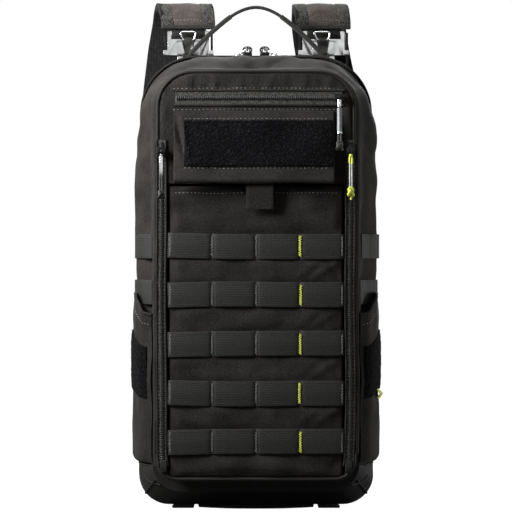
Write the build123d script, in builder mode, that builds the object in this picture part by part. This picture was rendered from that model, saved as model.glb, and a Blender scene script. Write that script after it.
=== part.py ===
"""Trauma backpack: a soft tactical bag with a fold-down front panel, a patch flap, a hinged back
lid and two shoulder straps on quick-release metal buckles.

+X is to the right seen from the front, +Y runs from the front to the wearer's back, +Z is up.
The origin is the middle of the plane that the bag stands on. Sizes are in millimetres.
"""

from build123d import *
import os

os.makedirs("parts", exist_ok=True)

# ---------------------------------------------------------------- driving dimensions
# Bag body
body_half = 119.0  # half the width across the side walls
ridge_z = 467.0  # height of the top ridge, where the main zip runs
main_depth = 80.0  # front face of the main compartment to the main zip
lid_depth = 42.0  # main zip to the outside of the back panel
front_depth = 42.0  # how far the front compartment stands out of the main one
front_round = 30.0  # depth over which the side walls curve into the front face
zip_y = 38.0  # depth of the main zip
top_radius = 58.0
bottom_radius = 30.0
wall = 3.0  # padded fabric with its lining
boot_wall = 1.2  # coated fabric round the base
lid_low = 50.0  # fold line of the back lid

# Front compartment
pocket_half = 99.0
pocket_low = 36.0
pocket_drop = 22.0  # ridge to the compartment's top
pocket_radius = 36.0
panel_half = 89.0
panel_wall = 5.0
panel_margin = 2.0  # pocket_low to the panel's lower edge

# Webbing
web = 2.2  # thickness
web_wide = 25.0
web_slack = 1.0  # room behind a loop of ladder webbing
row_count = 5
first_row_z = 74.0
last_row_drop = 62.0  # panel's top edge to the middle of the top row
loop_pitch = 44.0
loop_count = 4
tack_wide = 2.2

# Patch flap
flap_left = -82.0
flap_right = 78.0
flap_drop = 40.0  # compartment's top to the flap's hinge
flap_tall = 69.0
flap_gap = 4.0  # flap's lip to the panel's top edge
flap_root = 2.5  # thickness along the hinge
flap_rise = 12.0  # how much further out the lower lip stands than the hinge
flap_wall = 3.5
patch_wide = 147.0
patch_tall = 48.0
patch_wall = 1.4

# Zips
tape_wall = 0.8
coil_wide = 5.0
coil_high = 1.8
zip_low = 42.0
zip_above = 40.0  # how far the vertical zips pass the panel's top edge
admin_zip_drop = 27.0  # compartment's top to the admin zip
admin_tape_tall = 14.0
track_wide = 6.0
track_proud = 2.0
slider_long = 10.0
slider_wide = 8.0
slider_high = 3.4
bail_half = 3.3
bail_leg = 1.4
bail_high = 3.2
bail_bar = 1.2
ring_hole = 1.3
pull_wire = 1.6
pull_gap = 2.4

# Side pockets
side_bulge = 11.5  # how far the side pockets stand out of the side walls
side_low = 48.0
side_high = 222.0
side_wall = 2.0
side_patch_low = 124.0
side_patch_high = 184.0

# Base
loop_drop = 2.0  # slack between the base and its webbing
base_web = 3.0
base_web_x = 75.0
base_web_wide = 22.0
base_handle_long = 120.0

# Back pads
pad_thick = 10.0
pad_drop = 69.0  # ridge to the pads' top

# Harness
harness_x = 72.0  # middle of each shoulder-strap buckle
strap_wide = 58.0
strap_thick = 12.0
strap_rise = 31.0  # buckle's top to the strap's
strap_low = 152.0
buckle_half = 22.4
buckle_thick = 9.0
buckle_rise = 7.0  # ridge to the buckle frame's lower edge
buckle_tall = 26.0
lever_thick = 2.6
lever_deep = 3.2  # half its depth, front to back
lever_room = 1.2
pin_r = 0.7
pin_room = 0.1
adjuster_low = 112.0
adjuster_high = 142.0
lift_travel = 20.0

# Carry handle
handle_rise = 57.0  # ridge to the handle's top
handle_wide = 10.0
handle_thick = 3.0
handle_y = 58.0

clear = 0.3  # between pieces that move past each other

# ---------------------------------------------------------------- what follows from them
border_y = zip_y - main_depth  # front face of the main compartment
shoulder_y = border_y + front_round
front_y = border_y - front_depth
back_y = zip_y + lid_depth
floor_z = base_web + loop_drop + boot_wall  # underside of the main shell
panel_low = pocket_low + panel_margin
pocket_high = ridge_z - pocket_drop
flap_high = pocket_high - flap_drop
flap_low = flap_high - flap_tall
panel_high = flap_low - flap_gap
row_pitch = (panel_high - last_row_drop - first_row_z) / (row_count - 1)
zip_high = panel_high + zip_above
admin_zip_z = pocket_high - admin_zip_drop
side_half = body_half + side_bulge
pad_high = ridge_z - pad_drop
buckle_low = ridge_z + buckle_rise
buckle_high = buckle_low + buckle_tall
strap_top = buckle_high + strap_rise
handle_high = ridge_z + handle_rise
zip_x = panel_half + 0.5 + coil_wide
buckle_y = back_y + 6.0 + buckle_thick / 2


def block(x, y, z, mode=Mode.ADD):
    """A box between two values on each axis, added to the part being built."""
    with Locations(((x[0] + x[1]) / 2, (y[0] + y[1]) / 2, (z[0] + z[1]) / 2)):
        Box(x[1] - x[0], y[1] - y[0], z[1] - z[0], mode=mode)


def section(y, half, low, high, upper_r, lower_r):
    """A rounded outline across the bag at depth y, for a loft or an extrusion."""
    with BuildSketch(Plane.XZ.offset(-y)) as outline:
        with Locations((0, (low + high) / 2)):
            Rectangle(2 * half, high - low)
        fillet(outline.vertices().group_by(Axis.Y)[-1], upper_r)
        fillet(outline.vertices().group_by(Axis.Y)[0], lower_r)
    return outline.sketch


def bag_form(grow, mode=Mode.ADD):
    """The whole bag's form, grown by a distance: 0 is the outer fabric, -wall is the lining."""
    stations = (
        (border_y - grow, pocket_half + 5, pocket_low - 14, pocket_high + 5, pocket_radius + 5, 28),
        (shoulder_y, body_half, floor_z, ridge_z - 7, top_radius, bottom_radius),
        (zip_y, body_half, floor_z, ridge_z, top_radius, bottom_radius),
        (back_y + grow, body_half - 5, floor_z + 6, ridge_z - 10, top_radius - 6, bottom_radius),
    )
    outlines = [
        section(y, half + grow, low - grow, high + grow, upper_r + grow, lower_r + grow)
        for y, half, low, high, upper_r, lower_r in stations
    ]
    loft(outlines, ruled=True, mode=mode)


def lid_room(slack, mode):
    """The region of the bag that opens as the back lid."""
    block((-200, 200), (zip_y + slack, 300), (lid_low + slack, 700), mode=mode)


def pocket_form(grow, back, front, mode=Mode.ADD):
    """The front compartment's form between two depths, grown by a distance."""
    low, high = pocket_low - grow, pocket_high + grow
    outline = section(back, pocket_half + grow, low, high, pocket_radius + grow, 20 + grow)
    extrude(outline, amount=back - front, mode=mode)


def on_side(side, piece):
    """The right-hand piece as it is, or mirrored for the left."""
    return piece if side > 0 else mirror(piece, about=Plane.YZ, mode=Mode.PRIVATE)


def save(builder, name):
    builder.part.label = name
    export_step(builder.part, f"parts/{name}.step")


# ---------------------------------------------------------------- bag body
with BuildPart() as main_shell:
    bag_form(0)
    bag_form(-wall, mode=Mode.SUBTRACT)
    lid_room(0, mode=Mode.SUBTRACT)
save(main_shell, "main_shell")

boot_high = side_low - 1.0
with BuildPart() as base_boot:
    bag_form(boot_wall)
    bag_form(0, mode=Mode.SUBTRACT)
    block((-200, 200), (-300, 300), (-50, boot_high), mode=Mode.INTERSECT)
    pocket_form(clear, border_y + boot_wall, border_y - 20, mode=Mode.SUBTRACT)
save(base_boot, "base_boot")

with BuildPart() as main_zip_track_front:
    bag_form(track_proud)
    bag_form(0, mode=Mode.SUBTRACT)
    block((-200, 200), (zip_y - track_wide, zip_y), (lid_low + 10, 600), mode=Mode.INTERSECT)
save(main_zip_track_front, "main_zip_track_front")


# ---------------------------------------------------------------- front compartment
with BuildPart() as front_pocket_shell:
    pocket_form(0, border_y, front_y)
    pocket_form(-wall, border_y, front_y + wall, mode=Mode.SUBTRACT)
    block(
        (-panel_half - 0.5, panel_half + 0.5),
        (front_y - 1, front_y + panel_wall + 0.5),
        (panel_low - 0.5, panel_high + 0.5),
        mode=Mode.SUBTRACT,
    )
save(front_pocket_shell, "front_pocket_shell")


def ladder(row_z, x_low, pitch, count, y_back, tall, room):
    """One row of webbing sewn down at even stitch lines, with a loop between each pair."""
    x_high = x_low + pitch * count
    block((x_low, x_high), (y_back - room - web, y_back), (row_z - tall / 2, row_z + tall / 2))
    for loop in range(count):
        left = x_low + pitch * loop + tack_wide
        right = x_low + pitch * (loop + 1) - tack_wide
        block((left, right), (y_back - room, y_back), (row_z - tall, row_z + tall), mode=Mode.SUBTRACT)


organizer_pitch = 32.0
organizer_rise = (pocket_high - 165) / 4
with BuildPart() as organizer_loops:
    for row in range(3):
        ladder(100 + organizer_rise * row, -2.5 * organizer_pitch, organizer_pitch, 5, border_y, 38, 3.0)
save(organizer_loops, "organizer_loops")

with BuildPart() as front_panel:
    block(
        (-panel_half, panel_half),
        (front_y, front_y + panel_wall),
        (panel_low, panel_high),
    )
    corners = front_panel.edges().filter_by(Axis.Y)
    fillet(corners, 3)
save(front_panel, "front_panel")

ladder_left = -loop_pitch * loop_count / 2
for row in range(row_count):
    row_z = first_row_z + row * row_pitch
    with BuildPart() as front_webbing:
        ladder(row_z, ladder_left, loop_pitch, loop_count, front_y, web_wide, web_slack)
    save(front_webbing, f"front_webbing_{row + 1}")

tack_face = front_y - web_slack - web
with BuildPart() as bar_tacks:
    for row in range(row_count):
        row_z = first_row_z + row * row_pitch
        block(
            (loop_pitch - 1.3, loop_pitch + 1.3),
            (tack_face - 0.6, tack_face),
            (row_z - web_wide / 2 + 1.5, row_z + web_wide / 2 - 1.5),
        )
save(bar_tacks, "bar_tacks")

tab_x = 4.0
tab_wide = 27.0
tab_low = panel_high - 26
with BuildPart() as pull_tab:
    with BuildSketch(Plane.YZ.offset(tab_x - tab_wide / 2)):
        with BuildLine():
            Polyline(
                (front_y, panel_high - 1),
                (front_y - 9.5, panel_high - 1),
                (front_y - 9.5, tab_low),
                (front_y - 6.5, tab_low),
                (front_y - 6.5, panel_high - 8),
                (front_y, panel_high - 8),
                close=True,
            )
        make_face()
    extrude(amount=tab_wide)
save(pull_tab, "pull_tab")


# ---------------------------------------------------------------- patch flap
flap_face_root = front_y - 0.5 - flap_root
flap_face_lip = flap_face_root - flap_rise
with BuildPart() as front_flap:
    with BuildSketch(Plane.YZ.offset(flap_left)):
        with BuildLine():
            Polyline(
                (front_y - 0.5, flap_high),
                (flap_face_root, flap_high),
                (flap_face_lip, flap_low),
                (front_y - 3, flap_low),
                (front_y - 3, flap_low + flap_wall),
                (flap_face_lip + flap_wall, flap_low + flap_wall),
                close=True,
            )
        make_face()
    extrude(amount=flap_right - flap_left)
save(front_flap, "front_flap")

flap_plane = Plane(
    origin=(0, (flap_face_root + flap_face_lip) / 2, (flap_high + flap_low) / 2),
    x_dir=(1, 0, 0),
    z_dir=(0, flap_low - flap_high, flap_rise),
)
patch_x = flap_right - 2 - patch_wide / 2
with BuildPart() as flap_loop_patch:
    with BuildSketch(flap_plane):
        with Locations((patch_x, 2.5)):
            RectangleRounded(patch_wide, patch_tall, 2)
    extrude(amount=patch_wall)
save(flap_loop_patch, "flap_loop_patch")


# ---------------------------------------------------------------- zips, sliders and pulls
coil_face = front_y - tape_wall - coil_high
for side, name in ((-1, "left"), (1, "right")):
    with BuildPart() as front_zip_track:
        x = side * zip_x
        block((x - 4.6, x + 4.6), (front_y - tape_wall, front_y), (zip_low - 2, zip_high + 4))
        block((x - coil_wide / 2, x + coil_wide / 2), (coil_face, front_y - tape_wall), (zip_low, zip_high))
    save(front_zip_track, f"front_zip_track_{name}")

admin_left = -80.0
admin_right = 87.0
with BuildPart() as admin_zip_track:
    low = admin_zip_z - admin_tape_tall / 2
    high = admin_zip_z + admin_tape_tall / 2
    block((admin_left, admin_right), (front_y - tape_wall, front_y), (low, high))
    block(
        (admin_left + 2, admin_right - 1),
        (coil_face, front_y - tape_wall),
        (admin_zip_z - coil_wide / 2, admin_zip_z + coil_wide / 2),
    )
save(admin_zip_track, "admin_zip_track")


def slider(seat, along):
    """A slider lying on a coil at seat: a plate with an arched bail on top.

    along is "x" or "z" for the way the slider travels on a front-facing zip, and "top" for one
    that travels along X on the bag's ridge.
    """
    outward = (0, 0, 1) if along == "top" else (0, -1, 0)
    long, wide = (slider_wide, slider_long) if along == "z" else (slider_long, slider_wide)
    plane = Plane(origin=seat, x_dir=(1, 0, 0), z_dir=outward)
    with BuildSketch(plane) as plate:
        RectangleRounded(long, wide, 2)
    extrude(plate.sketch, amount=slider_high)
    with BuildSketch(plane.offset(slider_high)) as legs:
        with Locations((-bail_half + bail_leg / 2, 0), (bail_half - bail_leg / 2, 0)):
            Rectangle(bail_leg, bail_bar)
    extrude(legs.sketch, amount=bail_high)
    with BuildSketch(plane.offset(slider_high + bail_high)) as bar:
        Rectangle(2 * bail_half, bail_bar)
    extrude(bar.sketch, amount=bail_bar)


def pull(pivot, way, long, sleeve_r, knot_r):
    """A cord pull from the bail at pivot along way: a ring round the bail's bar, a sleeve, a knot."""
    start = Vector(*pivot)
    line = Vector(*way).normalized()
    with BuildSketch(Plane(origin=start, x_dir=line, z_dir=(1, 0, 0))) as ring:
        Circle(ring_hole + pull_wire)
        Circle(ring_hole, mode=Mode.SUBTRACT)
    extrude(ring.sketch, amount=pull_wire / 2, both=True)
    sleeve_start = ring_hole + pull_wire / 2
    with BuildSketch(Plane(origin=start + line * sleeve_start, z_dir=line)) as stem:
        Circle(pull_wire / 2)
    extrude(stem.sketch, amount=pull_gap)
    with BuildSketch(Plane(origin=start + line * (sleeve_start + pull_gap), z_dir=line)) as sleeve:
        Circle(sleeve_r)
    extrude(sleeve.sketch, amount=long - sleeve_start - pull_gap - knot_r)
    with Locations(start + line * (long - knot_r)):
        Sphere(knot_r)


bail_pivot = slider_high + bail_high + bail_bar / 2  # middle of the bail's bar above the seat
ridge_seat = ridge_z + track_proud + 0.8
main_slider_x = 9.0
for side, name in ((-1, "left"), (1, "right")):
    with BuildPart() as main_slider:
        slider((side * main_slider_x, zip_y, ridge_seat), "top")
    save(main_slider, f"main_slider_{name}")
    with BuildPart() as main_pull:
        pull((side * main_slider_x, zip_y, ridge_seat + bail_pivot), (0, -1, -0.12), 33, 1.8, 3.0)
    save(main_pull, f"main_pull_{name}")

front_seat = coil_face - clear
front_slider_z = zip_high - 8
for side, name in ((-1, "left"), (1, "right")):
    with BuildPart() as front_slider:
        slider((side * zip_x, front_seat, front_slider_z), "z")
    save(front_slider, f"front_slider_{name}")
    with BuildPart() as front_pull:
        pull((side * zip_x, front_seat - bail_pivot, front_slider_z), (0, -0.03, -1), 48, 1.9, 3.2)
    save(front_pull, f"front_pull_{name}")

admin_slider_x = admin_right - 4
with BuildPart() as admin_slider:
    slider((admin_slider_x, front_seat, admin_zip_z), "x")
save(admin_slider, "admin_slider")
with BuildPart() as admin_pull:
    pull((admin_slider_x, front_seat - bail_pivot, admin_zip_z), (0, -0.22, -1), 56, 2.4, 3.2)
save(admin_pull, "admin_pull")


# ---------------------------------------------------------------- side pockets and side webbing
def pocket_plan(grow, z):
    """Plan of the right side pocket at height z, grown by a distance: a bulge on the side wall."""
    front = border_y + 3 - grow / 2
    back = zip_y - track_wide - 2
    with BuildSketch(Plane.XY.offset(z)) as plan:
        with BuildLine():
            Spline(
                (pocket_half + 8 + grow, front),
                (side_half - 5 + grow, shoulder_y - 6 - grow / 2),
                (side_half + grow, shoulder_y + 14),
                (body_half + 1 + grow, back),
            )
            Polyline(
                (body_half + 1 + grow, back),
                (pocket_half - 20, back),
                (pocket_half - 20, front),
                (pocket_half + 8 + grow, front),
            )
        make_face()
    return plan.sketch


def right_side_pocket():
    extrude(pocket_plan(0, side_low), amount=side_high - side_low)
    extrude(pocket_plan(-side_wall, side_low + side_wall), amount=side_high, mode=Mode.SUBTRACT)
    bag_form(0, mode=Mode.SUBTRACT)
    with BuildSketch(Plane.YZ.offset(pocket_half - 30)) as lip_cut:
        with BuildLine():
            Polyline(
                (border_y - 5, side_high - 22),
                (shoulder_y + 4, side_high + 1),
                (border_y - 5, side_high + 1),
                close=True,
            )
        make_face()
    extrude(lip_cut.sketch, amount=80, mode=Mode.SUBTRACT)


def right_side_patch():
    extrude(pocket_plan(patch_wall, side_patch_low), amount=side_patch_high - side_patch_low)
    extrude(pocket_plan(0, side_patch_low - 1), amount=side_patch_high, mode=Mode.SUBTRACT)
    block((pocket_half + 8, 200), (border_y + 5, shoulder_y + 24), (0, 500), mode=Mode.INTERSECT)


with BuildPart() as side_pocket_right:
    right_side_pocket()
save(side_pocket_right, "side_pocket_right")

with BuildPart() as side_pocket_left:
    add(on_side(-1, side_pocket_right.part))
save(side_pocket_left, "side_pocket_left")

with BuildPart() as side_loop_patches:
    right_side_patch()
    mirror(about=Plane.YZ)
save(side_loop_patches, "side_loop_patches")

side_rows = (first_row_z + (row_count - 1) * row_pitch, first_row_z + (row_count - 2) * row_pitch)
with BuildPart() as side_webbing:
    bag_form(web)
    bag_form(0, mode=Mode.SUBTRACT)
    low, high = side_rows[1] - web_wide / 2, side_rows[0] + web_wide / 2
    block((-200, 200), (border_y + 4, zip_y - track_wide - 1), (low, high), mode=Mode.INTERSECT)
    between = (side_rows[1] + web_wide / 2, side_rows[0] - web_wide / 2)
    block((-200, 200), (-200, 200), between, mode=Mode.SUBTRACT)
    block((-pocket_half - 1, pocket_half + 1), (-200, 200), (0, 500), mode=Mode.SUBTRACT)
    add([side_pocket_right.part, side_pocket_left.part], mode=Mode.SUBTRACT)
save(side_webbing, "side_webbing")


# ---------------------------------------------------------------- base webbing and base handle
def bridge(x, y, ends_along, end):
    """A flat strip under the base, sewn at its ends, with slack between them."""
    top = base_web + loop_drop
    block(x, y, (0, top))
    if ends_along == "y":
        block(x, (y[0] + end, y[1] - end), (base_web, top), mode=Mode.SUBTRACT)
    else:
        block((x[0] + end, x[1] - end), y, (base_web, top), mode=Mode.SUBTRACT)


with BuildPart() as base_webbing:
    for side in (-1, 1):
        x = (side * base_web_x - base_web_wide / 2, side * base_web_x + base_web_wide / 2)
        bridge(x, (shoulder_y - 8, back_y - 22), "y", 14)
save(base_webbing, "base_webbing")

with BuildPart() as base_handle:
    bridge((-base_handle_long / 2, base_handle_long / 2), (-web_wide / 2, web_wide / 2), "x", 18)
save(base_handle, "base_handle")


# ---------------------------------------------------------------- back lid
with BuildPart() as back_shell:
    bag_form(0)
    bag_form(-wall, mode=Mode.SUBTRACT)
    lid_room(clear, mode=Mode.INTERSECT)
save(back_shell, "back_shell")

with BuildPart() as main_zip_track_back:
    bag_form(track_proud)
    bag_form(0, mode=Mode.SUBTRACT)
    block((-200, 200), (zip_y + clear, zip_y + track_wide), (lid_low + 10, 600), mode=Mode.INTERSECT)
save(main_zip_track_back, "main_zip_track_back")

sheet_thick = 2.0
sheet_half = 94.0
sheet_back = back_y - wall
with BuildPart() as frame_sheet:
    block((-sheet_half, sheet_half), (sheet_back - sheet_thick, sheet_back), (lid_low + 8, ridge_z - 45))
    fillet(frame_sheet.edges().filter_by(Axis.Y), 20)
save(frame_sheet, "frame_sheet")

sleeve_half = 98.0
sleeve_wall = 2.0
sleeve_high = ridge_z - 137
sleeve_back = sheet_back - sheet_thick
sleeve_front = sleeve_back - 20
with BuildPart() as hydration_sleeve:
    block((-sleeve_half, sleeve_half), (sleeve_front, sleeve_back), (lid_low + 8, sleeve_high))
    block(
        (-sleeve_half + sleeve_wall, sleeve_half - sleeve_wall),
        (sleeve_front + sleeve_wall, sleeve_back + 1),
        (lid_low + 8 + sleeve_wall, sleeve_high + 1),
        mode=Mode.SUBTRACT,
    )
save(hydration_sleeve, "hydration_sleeve")

def pad(x, z):
    """A foam pad on the back panel, with rounded corners and a softened outer edge."""
    block(x, (back_y, back_y + pad_thick), z)


with BuildPart() as back_pad_left:
    pad((-96, -11), (156, pad_high))
    fillet(back_pad_left.edges().filter_by(Axis.Y), 16)
    fillet(back_pad_left.faces().sort_by(Axis.Y)[-1].edges(), 4)
save(back_pad_left, "back_pad_left")

with BuildPart() as back_pad_right:
    pad((11, 96), (156, pad_high))
    fillet(back_pad_right.edges().filter_by(Axis.Y), 16)
    fillet(back_pad_right.faces().sort_by(Axis.Y)[-1].edges(), 4)
save(back_pad_right, "back_pad_right")

with BuildPart() as lumbar_pad:
    pad((-74, 74), (lid_low + 14, 140))
    fillet(lumbar_pad.edges().filter_by(Axis.Y), 16)
    fillet(lumbar_pad.faces().sort_by(Axis.Y)[-1].edges(), 4)
save(lumbar_pad, "lumbar_pad")


# ---------------------------------------------------------------- harness: what stays on the back lid
bar_high = buckle_low - 8.5  # top of the tongue's lower bar
bar_low = bar_high - 12
bar_half = buckle_half - 2
bar_deep = 3.5  # half its depth
slot_half = 15.0  # half the slot that the anchor webbing goes through
tongue_half = 12.0
tongue_deep = 1.6  # half its thickness
tongue_up = 9.0  # how far it goes into the frame
with BuildPart() as buckle_tongue:
    bar_y = (buckle_y - bar_deep, buckle_y + bar_deep)
    block((harness_x - bar_half, harness_x + bar_half), bar_y, (bar_low, bar_high))
    fillet(buckle_tongue.edges().filter_by(Axis.Y), 2.5)
    slot_x = (harness_x - slot_half, harness_x + slot_half)
    block(slot_x, (bar_y[0] - 1, bar_y[1] + 1), (bar_low + 3, bar_low + 7.5), mode=Mode.SUBTRACT)
    tongue_y = (buckle_y - tongue_deep, buckle_y + tongue_deep)
    tongue_x = (harness_x - tongue_half, harness_x + tongue_half)
    block(tongue_x, tongue_y, (bar_high - 1, buckle_low + tongue_up))
for side, name in ((-1, "left"), (1, "right")):
    with BuildPart() as placed:
        add(on_side(side, buckle_tongue.part))
    save(placed, f"buckle_tongue_{name}")

tab_y = handle_y
top_at_tab = ridge_z - 10 * (handle_y - zip_y) / lid_depth
with BuildPart() as anchor_webbing:
    # Folded webbing through the tongue's bar, sewn to the outside of the back panel.
    anchor_x = (harness_x - slot_half + 1, harness_x + slot_half - 1)
    block(anchor_x, (back_y, back_y + web), (pad_high + 2, bar_low + 3.4))
    block(anchor_x, (back_y, buckle_y + 1.5), (bar_low + 3.4, bar_low + 7.1))
    # Stub that each end of the carry handle is sewn to.
    block((harness_x + 3.2, harness_x + 5.4), (tab_y - 5, tab_y + 5), (top_at_tab - 4, top_at_tab + 11))
    bag_form(0, mode=Mode.SUBTRACT)
    mirror(about=Plane.YZ)
save(anchor_webbing, "anchor_webbing")

lifter_y = back_y + 0.6
with BuildPart() as lifter_hooks:
    # Narrow webbing, tapered adjuster and a square ring in front of each buckle.
    block((harness_x - 5, harness_x + 5), (lifter_y - 4, lifter_y - 2), (ridge_z - 14, buckle_low + 1))
    with BuildSketch(Plane.XZ.offset(-lifter_y)):
        with BuildLine():
            Polyline(
                (harness_x - 3.5, buckle_low),
                (harness_x + 3.5, buckle_low),
                (harness_x + 7, buckle_low + 15),
                (harness_x - 7, buckle_low + 15),
                close=True,
            )
        make_face()
    extrude(amount=6)
    with BuildSketch(Plane.XZ.offset(-lifter_y)):
        with BuildLine():
            Polyline(
                (harness_x - 6, buckle_low + 15),
                (harness_x + 6, buckle_low + 15),
                (harness_x + 8, buckle_low + 24),
                (harness_x - 8, buckle_low + 24),
                close=True,
            )
        make_face()
        with Locations((harness_x, buckle_low + 19.5)):
            Rectangle(9, 5, mode=Mode.SUBTRACT)
    extrude(amount=5)
    bag_form(0, mode=Mode.SUBTRACT)
    mirror(about=Plane.YZ)
save(lifter_hooks, "lifter_hooks")

lower_x = 92.0
lower_y = back_y + 15.3
for side, name in ((-1, "left"), (1, "right")):
    with BuildPart() as lower_webbing:
        x = side * lower_x
        with BuildSketch(Plane.YZ.offset(x - web_wide / 2)):
            with BuildLine():
                Polyline(
                    (back_y, lid_low + 4),
                    (lower_y + 0.8, lid_low + 20),
                    (lower_y + 0.8, adjuster_high + lift_travel + 16),
                    (lower_y - 0.8, adjuster_high + lift_travel + 16),
                    (lower_y - 0.8, lid_low + 22),
                    (back_y, lid_low + 8),
                    close=True,
                )
            make_face()
        extrude(amount=web_wide)
    save(lower_webbing, f"lower_webbing_{name}")


# ---------------------------------------------------------------- carry handle
handle_pivot_z = top_at_tab + 8.5
handle_end = harness_x
with BuildPart() as carry_handle:
    with BuildSketch(Plane.XZ.offset(-handle_y - handle_wide / 2)):
        with BuildLine() as arch:
            Spline(
                (-handle_end, handle_pivot_z - 2),
                (-harness_x * 0.62, handle_pivot_z + 27),
                (0, handle_high - handle_thick / 2),
                (harness_x * 0.62, handle_pivot_z + 27),
                (handle_end, handle_pivot_z - 2),
                tangents=((0.62, 0.78), (0.62, -0.78)),
            )
        trace(line_width=handle_thick)
    extrude(amount=handle_wide)
save(carry_handle, "carry_handle")


# ---------------------------------------------------------------- harness: what lifts off with each strap
strap_turn_y = back_y + 21.0  # middle of the turn over the top
turn_out = 23.0
turn_z = strap_top - turn_out
strap_run = turn_z - strap_low
hem_z = buckle_high + 3
strap_end_y = lower_y + 2.2
with BuildPart() as shoulder_strap:
    with BuildSketch(Plane.YZ.offset(30)):
        with BuildLine():
            turn_in = turn_out - strap_thick
            Line((strap_turn_y - turn_out, hem_z), (strap_turn_y - turn_out, turn_z))
            ThreePointArc(
                (strap_turn_y - turn_out, turn_z),
                (strap_turn_y, strap_top),
                (strap_turn_y + turn_out, turn_z),
            )
            Spline(
                (strap_turn_y + turn_out, turn_z),
                (strap_turn_y + turn_out - 5, turn_z - 0.25 * strap_run),
                (strap_end_y + strap_thick + 1, turn_z - 0.73 * strap_run),
                (strap_end_y + strap_thick - 2, strap_low),
                tangents=((0, -1), (0, -1)),
            )
            Line((strap_end_y + strap_thick - 2, strap_low), (strap_end_y, strap_low))
            Spline(
                (strap_end_y, strap_low),
                (strap_end_y + 1, turn_z - 0.73 * strap_run),
                (strap_turn_y + turn_in - 5, turn_z - 0.25 * strap_run),
                (strap_turn_y + turn_in, turn_z),
                tangents=((0, 1), (0, 1)),
            )
            ThreePointArc(
                (strap_turn_y + turn_in, turn_z),
                (strap_turn_y, turn_z + turn_in),
                (strap_turn_y - turn_in, turn_z),
            )
            Line((strap_turn_y - turn_in, turn_z), (strap_turn_y - turn_in, hem_z))
            Line((strap_turn_y - turn_in, hem_z), (strap_turn_y - turn_out, hem_z))
        make_face()
    extrude(amount=110)
    with BuildSketch(Plane.XZ.offset(-300)):
        half = strap_wide / 2
        with BuildLine():
            Spline(
                (harness_x + half, strap_top + 5),
                (harness_x + half + 1, turn_z - 8),
                (harness_x + half + 17, turn_z - 0.22 * strap_run),
                (harness_x + half + 20, turn_z - 0.53 * strap_run),
                (lower_x + 22, strap_low),
            )
            Line((lower_x + 22, strap_low), (lower_x - 22, strap_low))
            Spline(
                (lower_x - 22, strap_low),
                (harness_x - half + 22, turn_z - 0.53 * strap_run),
                (harness_x - half + 17, turn_z - 0.22 * strap_run),
                (harness_x - half + 1, turn_z - 8),
                (harness_x - half, strap_top + 5),
            )
            Line((harness_x - half, strap_top + 5), (harness_x + half, strap_top + 5))
        make_face()
    extrude(amount=300, mode=Mode.INTERSECT)
    # The strap's end webbing goes round the top bar of the buckle frame.
    loop_half = buckle_half - 4.4
    bar_tall = 5.0
    block(
        (harness_x - loop_half, harness_x + loop_half),
        (buckle_y - buckle_thick / 2 - 3, buckle_y + buckle_thick / 2 + 3),
        (buckle_high - bar_tall - 3.2, hem_z + 2),
    )
    block(
        (harness_x - 40, harness_x + 40),
        (buckle_y - buckle_thick / 2 - clear, buckle_y + buckle_thick / 2 + clear),
        (buckle_high - bar_tall - clear, buckle_high + clear),
        mode=Mode.SUBTRACT,
    )

lever_in = buckle_half + lever_room
lever_middle = lever_in + lever_thick / 2
lever_low = bar_low + 1
lever_high = buckle_high - 2
lever_pivot_z = (lever_low + lever_high) / 2
with BuildPart() as buckle_frame:
    block(
        (harness_x - buckle_half, harness_x + buckle_half),
        (buckle_y - buckle_thick / 2, buckle_y + buckle_thick / 2),
        (buckle_low, buckle_high),
    )
    fillet(buckle_frame.edges().filter_by(Axis.Y), 2)
    # Window for the strap's webbing, under the top bar.
    block(
        (harness_x - loop_half - clear, harness_x + loop_half + clear),
        (buckle_y - buckle_thick, buckle_y + buckle_thick),
        (buckle_high - bar_tall - 4, buckle_high - bar_tall),
        mode=Mode.SUBTRACT,
    )
    # Socket for the tongue.
    block(
        (harness_x - tongue_half - clear, harness_x + tongue_half + clear),
        (tongue_y[0] - clear, tongue_y[1] + clear),
        (buckle_low - 1, buckle_low + tongue_up + clear),
        mode=Mode.SUBTRACT,
    )
    # Lugs and pins that the release levers turn on.
    for sign in (-1, 1):
        lug_x = sorted((harness_x + sign * (buckle_half - 1), harness_x + sign * (lever_middle + 2)))
        for lug_y in ((-buckle_thick / 2, -lever_deep - clear), (lever_deep + clear, buckle_thick / 2)):
            lug_z = (lever_pivot_z - 2, lever_pivot_z + 3)
            block(lug_x, (buckle_y + lug_y[0], buckle_y + lug_y[1]), lug_z)
        with BuildSketch(Plane.XZ.offset(-buckle_y)):
            with Locations((harness_x + sign * lever_middle, lever_pivot_z)):
                Circle(pin_r)
        extrude(amount=buckle_thick / 2, both=True)
    # Arched groove pressed into the front face.
    with BuildSketch(Plane.XZ.offset(-(buckle_y - buckle_thick / 2))):
        with Locations((harness_x, buckle_low + 7)):
            RectangleRounded(27, 16, 5)
            RectangleRounded(25, 14, 4, mode=Mode.SUBTRACT)
    extrude(amount=-0.6, mode=Mode.SUBTRACT)

with BuildPart() as ladder_lock:
    rail_in = web_wide / 2 + 0.6
    for rail in (lower_x - rail_in - 3, lower_x + rail_in):
        block((rail, rail + 3), (lower_y - 4.4, lower_y + 4.4), (adjuster_low, adjuster_high))
    for bar_z in (adjuster_low, adjuster_high - 5):
        block((lower_x - rail_in, lower_x + rail_in), (lower_y + 1.2, lower_y + 4.4), (bar_z, bar_z + 5))
    middle = (adjuster_low + adjuster_high) / 2
    block((lower_x - rail_in, lower_x + rail_in), (lower_y - 4.4, lower_y - 1.2), (middle - 3, middle + 3))
    # Short webbing end that the lock hangs from.
    block((lower_x - 11, lower_x + 11), (strap_end_y, strap_end_y + 2), (adjuster_high, strap_low))

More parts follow.
